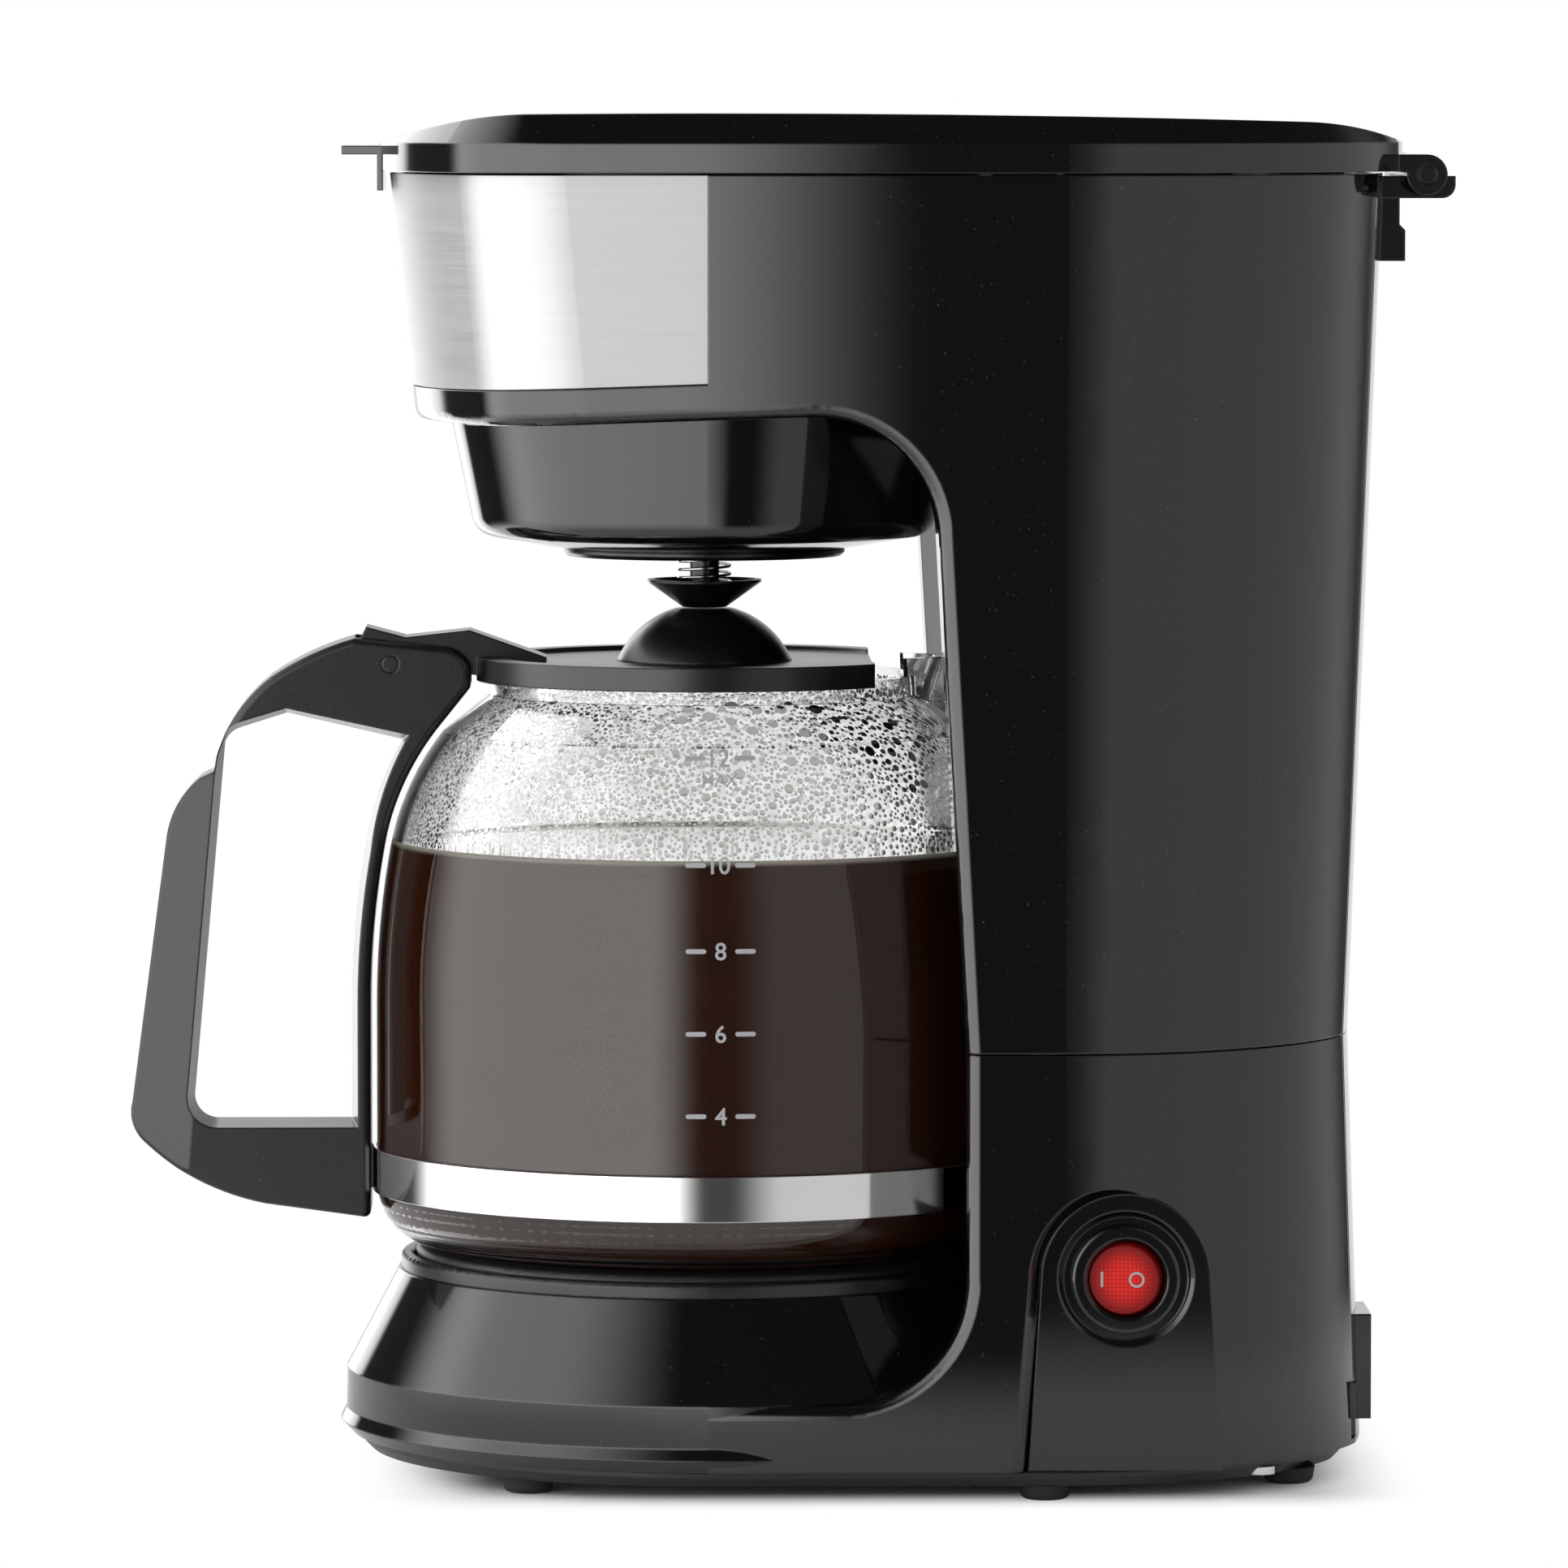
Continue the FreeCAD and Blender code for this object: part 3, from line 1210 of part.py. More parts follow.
def switch() -> None:
    """Round rocker switch: bezel on the pad, barrel behind it and the rocker between."""
    opening = "(rocker_r + rocker_play)"
    bezel = switch_piece("switch_bezel", "pad_x")
    bezel.revolve([
        (opening, "-recess_deep"),
        ("bezel_r", "-recess_deep"),
        ("bezel_r", "bezel_proud / 2", "bezel_proud / 2"),
        ("bezel_r - bezel_proud / 2", "bezel_proud"),
        (f"{opening} + bezel_proud / 2", "bezel_proud"),
        (opening, "bezel_proud / 2"),
    ])
    barrel = switch_piece("switch_body", "pad_x")
    well = f"({ROCKER_X} - pad_x - rocker_r - rocker_play)"
    barrel.revolve([
        ("0", "-switch_body_deep"),
        ("switch_body_r", "-switch_body_deep"),
        ("switch_body_r", "-recess_deep"),
        (opening, "-recess_deep"),
        (opening, well),
        ("0", well),
    ])
    rocker = switch_piece("switch_rocker", ROCKER_X)
    turned = rocker.revolve([
        ("0", "-rocker_face"),
        ("sqrt(rocker_r^2 - rocker_face^2)", "-rocker_face", "rocker_r"),
        ("sqrt(rocker_r^2 - rocker_face^2)", "rocker_face"),
        ("0", "rocker_face"),
    ])
    profile = turned.Profile[0]
    profile.AttachmentOffset = FreeCAD.Placement(Vector(), FreeCAD.Rotation(Vector(1, 0, 0), 1))
    bind(profile, "AttachmentOffset.Rotation.Angle", "rocker_tilt")


def cord_gland() -> None:
    """Flanged block in a slot of the back wall, where the mains lead goes in."""
    near = "((-gland_x - gland_flange_r) / crease_x)"
    seat = f"({base_at('gland_z', '0')[1]} - crease_drop * {near}^2 + pin_play)"
    piece = Piece("cord_gland", f"axis_y + {seat}")
    turned = FreeCAD.Rotation(Vector(1, 0, 0), -90)
    piece.body.Placement = FreeCAD.Placement(Vector(), turned)
    bind(piece.body, "Placement.Base.x", "gland_x")
    bind(piece.body, "Placement.Base.y", f"axis_y + {seat}")
    bind(piece.body, "Placement.Base.z", "gland_z")
    block = [
        ("-gland_r", "-gland_r"), ("gland_r", "-gland_r"),
        ("gland_r", f"gland_z - {BASE_Z}"), ("-gland_r", f"gland_z - {BASE_Z}"),
    ]
    piece.pad(piece.outline("XY", block, "-gland_long"), "gland_long")
    piece.revolve([
        ("gland_bore", "-gland_flange"),
        ("gland_r", "-gland_flange"),
        ("gland_r", "0"),
        ("gland_flange_r", "0"),
        ("gland_flange_r - gland_flange / 2", "gland_flange"),
        ("gland_bore", "gland_flange"),
    ])
    piece.pocket(piece.circle("XY", "0", "0", "gland_bore", "gland_flange"), "gland_long * 2")


GLASS_Z = "(plate_z + seat_gap)"


def glass_profile(inset: str) -> list:
    """Half outline of the carafe, moved in by an inset, from the axis to the rim."""
    return [
        ("0", f"{GLASS_Z} + {inset}"),
        ("glass_r - glass_foot_r", f"{GLASS_Z} + {inset}", f"(glass_foot_r - {inset})"),
        (f"glass_r - {inset}", f"{GLASS_Z} + glass_foot_r"),
        (f"glass_r - {inset}", "glass_side_z", f"(glass_mid_arc - {inset})"),
        (f"glass_mid_r - {inset}", "glass_mid_z", f"(shoulder_arc - {inset})"),
        (f"shoulder_r - {inset}", f"shoulder_z - {inset} / 2"),
        (f"neck_r - {inset}", "neck_z"),
        (f"neck_r - {inset}", "rim_z"),
        ("0", "rim_z"),
    ]


def spout_plan(y: str, half: str, inset: str) -> list:
    """Plan of the pouring lip at one height: a rounded tongue that points back."""
    root = "(pour_cut_y - glass_wall)"
    return [
        (f"-({half} - {inset})", root),
        (f"({half} - {inset})", root),
        (f"({half} - {inset})", f"{y} - {half}", f"({half} - {inset})"),
        ("0", f"{y} - {inset}", f"({half} - {inset})"),
        (f"-({half} - {inset})", f"{y} - {half}"),
    ]


def carafe_glass() -> None:
    """Blown carafe with a drawn-in neck and a pouring lip at the back."""
    piece = Piece("carafe_glass")
    piece.revolve(glass_profile("0"))
    low_y = "neck_r + glass_wall"
    piece.loft(spout_plan(low_y, "spout_half", "0"), "spout_root_z",
               spout_plan("spout_y", "spout_half", "0"), "spout_z")
    piece.groove(glass_profile("glass_wall"))
    piece.loft(spout_plan(low_y, "spout_half", "glass_wall"), "spout_root_z + spout_lift",
               spout_plan("spout_y", "spout_half", "glass_wall"), "spout_z", cut=True)
    clear = [
        ("0", "rim_z"), ("neck_r - glass_wall", "rim_z"),
        ("neck_r - glass_wall", "spout_z"), ("0", "spout_z"),
    ]
    piece.groove(clear)


BAND_R = "(glass_r + band_play + band_thick)"
STRAP_Y = f"({BAND_R} + handle_gap)"


def carafe_band() -> None:
    """Steel band round the glass, with a tab that is clamped in the handle."""
    piece = Piece("carafe_band")
    top = "(band_low_z + band_tall)"
    piece.revolve([
        ("glass_r + band_play", "band_low_z"), (BAND_R, "band_low_z"),
        (BAND_R, top), ("glass_r + band_play", top),
    ])
    tab = [
        ("band_tab_end_y", "band_low_z"), (f"-{BAND_R} + band_thick / 2", "band_low_z"),
        (f"-{BAND_R} + band_thick / 2", top), ("band_tab_end_y", top),
    ]
    piece.pad(piece.outline("YZ", tab), "band_tab_half * 2", symmetric=True)
    middle = "(band_low_z + band_tall / 2)"
    piece.pocket(piece.circle("YZ", "band_screw_y", middle, "band_screw_r + pin_play"), symmetric=True)
    screw = Piece("band_screw")
    head_x = "(-handle_half + seat_gap)"
    screw.pad(screw.circle("YZ", "band_screw_y", middle, "band_screw_head_r", head_x), "band_screw_head")
    shank_x = f"({head_x} + band_screw_head)"
    screw.pad(screw.circle("YZ", "band_screw_y", middle, "band_screw_r", shank_x), "band_screw_long")


def grip_faces(piece: Piece) -> None:
    """Slopes both sides of the grip away to its outer edge, and rounds that edge."""
    far = "(handle_half * 3)"
    for side in ("", "-"):
        plans = []
        for y in ("grip_face_low_y", "grip_face_high_y"):
            plans.append([
                (f"{side}handle_half", y),
                (f"{side}(handle_half + wall)", y),
                (f"{side}(handle_half + wall)", f"{y} - {far}"),
                (f"{side}(handle_half - {far} * grip_slope)", f"{y} - {far}"),
            ])
        piece.loft(plans[0], "grip_face_low_z", plans[1], "grip_face_high_z", cut=True)
    inner = number("handle_half - handle_round")
    piece.fillet("grip_edge", lambda p, edge: 1 < abs(p.x) < inner and edge.Length > 3)


def handle_window(grow: str) -> list:
    """Outline of the finger window, grown all round by its draft."""
    strap = f"({STRAP_Y} - glass_r + strap - {grow})"
    return [
        (f"-glass_r - {strap}", f"window_low_z - {grow}"),
        (f"-glass_r - {strap}", "glass_side_z", f"-(glass_mid_arc + {strap})"),
        (f"-glass_mid_r - {strap}", "glass_mid_z", f"-(shoulder_arc + {strap})"),
        (f"-shoulder_r - {strap} - step_in", f"window_nose_z + {grow}"),
        ("window_top_y", f"window_top_z + {grow}"),
        (f"window_high_y + step_in - {grow} / 2", f"window_top_z - step_in + {grow}", f"window_round + {grow}"),
        (f"window_high_y - {grow}", "window_high_z"),
        (f"window_low_y - {grow}", "window_low_z + window_round", f"window_round + {grow}"),
        ("window_low_y + window_round", f"window_low_z - {grow}"),
    ]


def carafe_handle() -> None:
    """Handle that hugs the glass, with a finger window and ears for the lid."""
    piece = Piece("carafe_handle")
    off = f"({STRAP_Y} - glass_r)"
    outer = [
        (f"-{STRAP_Y}", "foot_end_z"),
        (f"-{STRAP_Y}", "glass_side_z", f"-(glass_mid_arc + {off})"),
        (f"-glass_mid_r - {off}", "glass_mid_z", f"-(shoulder_arc + {off})"),
        (f"-shoulder_r - {off}", "beak_low_z"),
        ("beak_y", "beak_z - lever_hub_r"),
        ("beak_y", "beak_z", "lever_hub_r * 1.5"),
        ("beak_y - lever_hub_r * 1.5", "beak_z + lever_hub_r"),
        ("arm_top_y", "arm_top_z", "grip_arc * 3"),
        ("arm_bend_y", "arm_bend_z", "grip_arc * 1.6"),
        ("arm_end_y", "arm_end_z"),
        ("step_y + step_in", "step_z + step_in / 2"),
        ("step_y", "step_z", "grip_arc"),
        ("grip_top_y", "grip_top_z"),
        ("grip_low_y", "grip_low_z", "heel_arc"),
        ("heel_y", "heel_z", "grip_arc * 2.6"),
        ("toe_y", "toe_z"),
    ]
    piece.pad(piece.outline("YZ", outer), "handle_half * 2", symmetric=True)
    half = number("handle_half")
    piece.fillet("handle_corner", lambda p, edge: abs(p.x) < 0.1)
    piece.fillet("handle_round", lambda p, edge: abs(p.x) > half - 0.01)
    grip_faces(piece)
    for side in ("", "-"):
        drafted = handle_window("window_draft")
        piece.loft(handle_window("0"), "0", drafted, f"{side}handle_half", cut=True, plane="YZ")
    slot_z = "lid_pin_z - lever_hub_r - lever_play"
    slot = [("arm_top_y", slot_z), ("through", slot_z), ("through", "through"), ("arm_top_y", "through")]
    piece.pocket(piece.outline("YZ", slot), "(lever_half + lever_play) * 2", symmetric=True)
    piece.pocket(piece.circle("YZ", "lid_pin_y", "lid_pin_z", "lid_pin_r + pin_play"), symmetric=True)
    tab_slot = [
        ("band_tab_end_y - seat_gap", "band_low_z - seat_gap"), ("0", "band_low_z - seat_gap"),
        ("0", "band_low_z + band_tall + seat_gap"),
        ("band_tab_end_y - seat_gap", "band_low_z + band_tall + seat_gap"),
    ]
    piece.pocket(piece.outline("YZ", tab_slot), "(band_tab_half + seat_gap) * 2", symmetric=True)
    middle = "(band_low_z + band_tall / 2)"
    shank = piece.circle("YZ", "band_screw_y", middle, "band_screw_r + pin_play", "-handle_half")
    piece.pocket(shank, "band_screw_long + band_screw_head + seat_gap * 2", Reversed=True)
    head = piece.circle("YZ", "band_screw_y", middle, "band_screw_head_r + seat_gap", "-handle_half")
    piece.pocket(head, "band_screw_head + seat_gap", Reversed=True)


def carafe_lid() -> None:
    """Round lid with a straight pouring edge, a domed middle and a thumb lever."""
    piece = Piece("carafe_lid")
    under = "(lid_deck_z - lid_deck_thick)"
    piece.revolve([
        ("0", under),
        ("neck_r + handle_gap", under),
        ("neck_r + handle_gap", "lid_ring_low_z"),
        ("lid_ring_r", "lid_ring_low_z"),
        ("lid_ring_r", "lid_ring_z"),
        ("lid_ring_r - wall * 2", "lid_ring_z"),
        ("lid_ring_r - wall * 2.4", "lid_deck_z"),
        ("0", "lid_deck_z"),
    ])
    pour = [
        ("-lid_ring_r", "pour_cut_y"), ("lid_ring_r", "pour_cut_y"),
        ("lid_ring_r", "lid_ring_r * 2"), ("-lid_ring_r", "lid_ring_r * 2"),
    ]
    piece.pocket(piece.outline("XY", pour, "lid_ring_z"), "lid_ring_z")
    lever = [
        ("lid_pin_y + lever_hub_r", "lid_pin_z", "-lever_hub_r"),
        ("lid_pin_y", "lid_pin_z - lever_hub_r", "-lever_hub_r"),
        ("lid_pin_y - lever_hub_r", "lid_pin_z"),
        ("lever_tip_y", "lever_tip_z - wall"),
        ("lever_tip_y + wall / 2", "lever_tip_z"),
        ("lever_dip_y", "lever_dip_z"),
        ("lever_crest_y", "lever_crest_z"),
        ("lever_end_y", "lid_ring_z"),
        ("lever_end_y", "lid_deck_z - wall / 2"),
        ("-lid_ring_r + wall", "lid_deck_z - wall / 2"),
        ("-lid_ring_r", "lid_ring_low_z + wall / 2"),
    ]
    piece.pad(piece.outline("YZ", lever), "lever_half * 2", symmetric=True)
    piece.pocket(piece.circle("YZ", "lid_pin_y", "lid_pin_z", "lid_pin_r + pin_play"), symmetric=True)
    dome = Piece("lid_dome")
    dome.revolve([
        ("dome_r - dome_wall", "lid_deck_z"),
        ("dome_r", "lid_deck_z", "dome_arc"),
        ("dome_top_r", "dome_top_z"),
        ("0", "dome_top_z"),
        ("0", "dome_top_z - dome_wall"),
        ("dome_top_r - dome_wall / 3", "dome_top_z - dome_wall", "-(dome_arc - dome_wall)"),
    ])
    pin = Piece("carafe_hinge_pin")
    pin.pad(pin.circle("YZ", "lid_pin_y", "lid_pin_z", "lid_pin_r"), "handle_half * 2", symmetric=True)


def build() -> None:
    """Makes every sub-part, checks it and writes it to its own file."""
    for make in (
        base_housing, bottom_cover, base_screws, feet, hot_plate, heater, water_path, upper_housing,
        front_panel, brew_bowl, filter_basket, drip_stop, valve_spring, spray_arm, lid, switch,
        cord_gland, carafe_glass, carafe_band, carafe_handle, carafe_lid,
    ):
        make()
    DOC.recompute()
    for item in DOC.Objects:
        if {"Invalid", "Error"} & set(item.State):
            raise ValueError(f"{item.Name} is {item.State}")
    os.makedirs("parts", exist_ok=True)
    for item in Piece.made:
        if item.Shape.isNull() or not item.Shape.isValid():
            raise ValueError(f"{item.Label} has no valid shape")
        item.Shape.exportStep(f"parts/{item.Label}.step")


build()
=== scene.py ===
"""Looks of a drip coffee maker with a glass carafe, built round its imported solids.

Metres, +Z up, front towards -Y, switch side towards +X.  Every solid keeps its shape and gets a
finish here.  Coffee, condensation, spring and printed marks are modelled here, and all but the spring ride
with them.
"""

import logging
import math
from dataclasses import dataclass
from enum import Enum
from typing import ClassVar

import bpy
import numpy as np
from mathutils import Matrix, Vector

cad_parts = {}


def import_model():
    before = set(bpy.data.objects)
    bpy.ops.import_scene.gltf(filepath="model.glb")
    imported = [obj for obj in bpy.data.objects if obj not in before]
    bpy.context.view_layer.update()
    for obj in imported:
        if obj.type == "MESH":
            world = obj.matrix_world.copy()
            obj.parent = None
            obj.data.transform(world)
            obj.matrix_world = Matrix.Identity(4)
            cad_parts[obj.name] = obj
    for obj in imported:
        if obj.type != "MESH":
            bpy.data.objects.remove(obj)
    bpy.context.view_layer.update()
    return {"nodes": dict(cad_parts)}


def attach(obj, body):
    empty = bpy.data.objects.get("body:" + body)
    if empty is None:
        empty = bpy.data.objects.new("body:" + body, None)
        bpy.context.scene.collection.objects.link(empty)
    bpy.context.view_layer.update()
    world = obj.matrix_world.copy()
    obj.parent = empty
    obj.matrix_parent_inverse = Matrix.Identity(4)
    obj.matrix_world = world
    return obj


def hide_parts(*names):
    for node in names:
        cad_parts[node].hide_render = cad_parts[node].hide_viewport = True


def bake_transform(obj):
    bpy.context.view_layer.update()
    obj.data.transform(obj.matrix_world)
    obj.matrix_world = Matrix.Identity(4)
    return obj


LOG = logging.getLogger("coffee_maker")
MM = 0.001
Colour = tuple[float, float, float]
Point = tuple[float, float, float]
Span = tuple[float, float]
WHITE = (1.0, 1.0, 1.0, 1.0)


class Sheet:
    """A node tree with short calls that add nodes and join them."""

    def __init__(self, tree: bpy.types.NodeTree) -> None:
        """Takes a tree over, emptied."""
        self.tree = tree
        tree.nodes.clear()

    def node(self, kind: str, inputs: dict | None = None, **settings: object) -> bpy.types.Node:
        """Adds one node.

        Args:
            kind: the node's type after the word ShaderNode.
            inputs: a value or an output to join for each input, by name or number.
            settings: the node's own properties.

        Returns:
            The new node.
        """
        made = self.tree.nodes.new(f"ShaderNode{kind}")
        for name, value in settings.items():
            setattr(made, name, value)
        for name, value in (inputs or {}).items():
            if isinstance(value, bpy.types.NodeSocket):
                self.tree.links.new(value, made.inputs[name])
            else:
                made.inputs[name].default_value = value
        return made

    def group(self, tree: bpy.types.NodeTree, inputs: dict[str, float]) -> bpy.types.Node:
        """Places a shared group with its own values and returns its node."""
        made = self.node("Group", node_tree=tree)
        for name, value in inputs.items():
            made.inputs[name].default_value = value
        return made

    def sum(self, operation: str, *values: object) -> bpy.types.NodeSocket:
        """The result of a Math node on values or outputs."""
        return self.node("Math", dict(enumerate(values)), operation=operation).outputs[0]

    def vector(self, operation: str, *values: object) -> bpy.types.NodeSocket:
        """The result of a Vector Math node, which is a number for a length."""
        made = self.node("VectorMath", dict(enumerate(values)), operation=operation)
        return made.outputs["Value" if operation == "LENGTH" else "Vector"]

    def ramp(self, value: bpy.types.NodeSocket, low: float, high: float,
             start: float = 0.0, end: float = 1.0) -> bpy.types.NodeSocket:
        """Carries a value smoothly from one range to another.

        Args:
            value: what is read.
            low: the value that gives start.
            high: the value that gives end.
            start: the result at and before low.
            end: the result at and past high.

        Returns:
            The result's socket.
        """
        inputs = {"Value": value, "From Min": low, "From Max": high, "To Min": start, "To Max": end}
        return self.node("MapRange", inputs, interpolation_type="SMOOTHSTEP").outputs["Result"]

    def mix(self, share: object, first: object, second: object) -> bpy.types.NodeSocket:
        """A colour between two, each a plain colour or an output."""
        colours = [(*value, 1.0) if isinstance(value, tuple) else value for value in (first, second)]
        inputs = {0: share, 6: colours[0], 7: colours[1]}
        return self.node("Mix", inputs, data_type="RGBA").outputs[2]

    def noise(self, scale: float, detail: float = 2.0,
              stretch: Point = (1.0, 1.0, 1.0)) -> bpy.types.NodeSocket:
        """Noise fixed to the piece, with its cells stretched along the axes.

        Args:
            scale: cells in a metre.
            detail: how many finer layers are added.
            stretch: a share of the scale on each axis.

        Returns:
            The noise's value.
        """
        place = self.node("TexCoord").outputs["Object"]
        spread = self.node("Mapping", {"Vector": place, "Scale": stretch}).outputs["Vector"]
        return self.node("TexNoise", {"Vector": spread, "Scale": scale, "Detail": detail}).outputs["Fac"]


def shared_group(
    name: str, inputs: dict[str, float], outputs: dict[str, str]
) -> tuple[Sheet, dict[str, bpy.types.NodeSocket], bpy.types.Node]:
    """Starts a node group with named sockets.

    Args:
        name: the group's name.
        inputs: a starting value for each number that goes in.
        outputs: the socket type of each thing that comes out, after the word NodeSocket.

    Returns:
        The group's sheet, its inputs by name, and the node that takes its outputs.
    """
    tree = bpy.data.node_groups.new(name, "ShaderNodeTree")
    for label, value in inputs.items():
        socket = tree.interface.new_socket(label, in_out="INPUT", socket_type="NodeSocketFloat")
        socket.default_value = value
    for label, kind in outputs.items():
        tree.interface.new_socket(label, in_out="OUTPUT", socket_type=f"NodeSocket{kind}")
    sheet = Sheet(tree)
    entry = tree.nodes.new("NodeGroupInput")
    leave = tree.nodes.new("NodeGroupOutput")
    return sheet, {label: entry.outputs[label] for label in inputs}, leave


class Effects:
    """Effects that several finishes share, each built once as a node group."""

    corner_samples = 6
    least_roughness = 0.015
    wall_front = -23.0 * MM
    wall_rear = 63.0 * MM
    lean_front = -0.15
    lean_rear = 0.04

    def __init__(self) -> None:
        """Builds the groups."""
        self.handling = self._handling()
        self.moulding = self._moulding()
        self.edges = self._edges()
        self.crowning = self._crowning()
        self.brushing = self._brushing()

    def _handling(self) -> bpy.types.NodeTree:
        """Uneven gloss from wiping, and a few specks of dust."""
        sheet, given, leave = shared_group(
            "handling",
            {"Roughness": 0.1, "Spread": 0.03, "Dust": 0.0},
            {"Roughness": "Float", "Dust": "Float"},
        )
        wiped = sheet.sum("SUBTRACT", sheet.noise(38.0, 4.0, (1.0, 1.0, 0.35)), 0.5)
        uneven = sheet.sum("MULTIPLY_ADD", wiped, given["Spread"], given["Roughness"])
        specks = sheet.ramp(sheet.noise(1500.0, 1.0), 0.74, 0.80)
        sheet.tree.links.new(sheet.sum("MAXIMUM", uneven, self.least_roughness), leave.inputs["Roughness"])
        sheet.tree.links.new(sheet.sum("MULTIPLY", specks, given["Dust"]), leave.inputs["Dust"])
        return sheet.tree

    @staticmethod
    def _moulding() -> bpy.types.NodeTree:
        """The height of a moulded skin: slow waves from cooling and a fine grain."""
        sheet, given, leave = shared_group(
            "moulding", {"Waves": 1.0, "Grain": 0.0}, {"Height": "Float"}
        )
        waves = sheet.sum("MULTIPLY", sheet.noise(22.0, 1.0), given["Waves"])
        grain = sheet.sum("MULTIPLY", sheet.noise(2600.0, 2.0), given["Grain"])
        sheet.tree.links.new(sheet.sum("ADD", waves, grain), leave.inputs["Height"])
        return sheet.tree

    def _edges(self) -> bpy.types.NodeTree:
        """The normal of a corner that is very slightly rounded."""
        sheet, given, leave = shared_group("soft_edge", {"Radius": 0.0004}, {"Normal": "Vector"})
        rounded = sheet.node("Bevel", {"Radius": given["Radius"]}, samples=self.corner_samples)
        sheet.tree.links.new(rounded.outputs["Normal"], leave.inputs["Normal"])
        return sheet.tree

    def _crowning(self) -> bpy.types.NodeTree:
        """The normal of a soft corner, on side walls that bulge very slightly from front to rear."""
        sheet, given, leave = shared_group(
            "crowned_wall", {"Radius": 0.0004, "Bulge": 1.0}, {"Normal": "Vector"}
        )
        rounded = sheet.node("Bevel", {"Radius": given["Radius"]}, samples=self.corner_samples)
        place = sheet.node("TexCoord").outputs
        along = sheet.node("SeparateXYZ", {"Vector": place["Object"]}).outputs["Y"]
        lean = sheet.node("MapRange", {
            "Value": along,
            "From Min": self.wall_front, "From Max": self.wall_rear,
            "To Min": self.lean_front, "To Max": self.lean_rear,
        }).outputs["Result"]
        facing = sheet.node("SeparateXYZ", {"Vector": place["Normal"]}).outputs["X"]
        wall = sheet.ramp(sheet.sum("ABSOLUTE", facing), 0.8, 0.97)
        turned = sheet.sum("MULTIPLY", sheet.sum("MULTIPLY", lean, wall), given["Bulge"])
        push = sheet.node("CombineXYZ", {"Y": turned}).outputs["Vector"]
        push = sheet.node(
            "VectorTransform", {"Vector": push},
            vector_type="VECTOR", convert_from="OBJECT", convert_to="WORLD",
        ).outputs["Vector"]
        bent = sheet.vector("ADD", rounded.outputs["Normal"], push)
        sheet.tree.links.new(sheet.vector("NORMALIZE", bent), leave.inputs["Normal"])
        return sheet.tree

    @staticmethod
    def _brushing() -> bpy.types.NodeTree:
        """Long level strokes: how they catch light, and their height."""
        sheet, given, leave = shared_group(
            "brushing", {"Depth": 1.0}, {"Stroke": "Float", "Height": "Float"}
        )
        fine = sheet.noise(2600.0, 3.0, (0.012, 0.012, 1.0))
        broad = sheet.noise(420.0, 2.0, (0.03, 0.03, 1.0))
        stroke = sheet.sum("MULTIPLY_ADD", broad, 0.5, sheet.sum("MULTIPLY", fine, 0.5))
        sheet.tree.links.new(stroke, leave.inputs["Stroke"])
        sheet.tree.links.new(sheet.sum("MULTIPLY", fine, given["Depth"]), leave.inputs["Height"])
        return sheet.tree


@dataclass(frozen=True)
class Finish:
    """A finish, by the nodes that draw it."""

    def make(self, name: str, effects: Effects) -> bpy.types.Material:
        """Builds the material.

        Args:
            name: the material's name.
            effects: the shared groups.

        Returns:
            The material.
        """
        material = bpy.data.materials.new(name)
        material.use_nodes = True
        sheet = Sheet(material.node_tree)
        surface = self.draw(sheet, effects)
        sheet.node("OutputMaterial", {"Surface": surface.outputs[0]})
        return material

    def draw(self, sheet: Sheet, effects: Effects) -> bpy.types.Node:
        """Adds the nodes and returns the shader."""
        raise NotImplementedError


@dataclass(frozen=True)
class Moulded(Finish):
    """Moulded plastic, rubber or coating."""

    colour: Colour
    roughness: float
    spread: float
    dust: float
    waves: float = 0.0
    grain: float = 0.0
    edge: float = 0.4 * MM
    metallic: float = 0.0
    dust_colour: Colour = (0.16, 0.16, 0.16)
    relief: float = 0.2 * MM
    ior: float = 1.5
    bulge: float = 0.0

    def draw(self, sheet: Sheet, effects: Effects) -> bpy.types.Node:
        """Adds the nodes and returns the shader."""
        handling = sheet.group(
            effects.handling, {"Roughness": self.roughness, "Spread": self.spread, "Dust": self.dust}
        )
        skin = sheet.group(effects.moulding, {"Waves": self.waves, "Grain": self.grain})
        if self.bulge:
            edge = sheet.group(effects.crowning, {"Radius": self.edge, "Bulge": self.bulge})
        else:
            edge = sheet.group(effects.edges, {"Radius": self.edge})
        bump = sheet.node("Bump", {
            "Strength": 1.0, "Distance": self.relief,
            "Height": skin.outputs["Height"], "Normal": edge.outputs["Normal"],
        })
        return sheet.node("BsdfPrincipled", {
            "Base Color": sheet.mix(handling.outputs["Dust"], self.colour, self.dust_colour),
            "Roughness": handling.outputs["Roughness"],
            "Metallic": self.metallic,
            "IOR": self.ior,
            "Normal": bump.outputs["Normal"],
        })


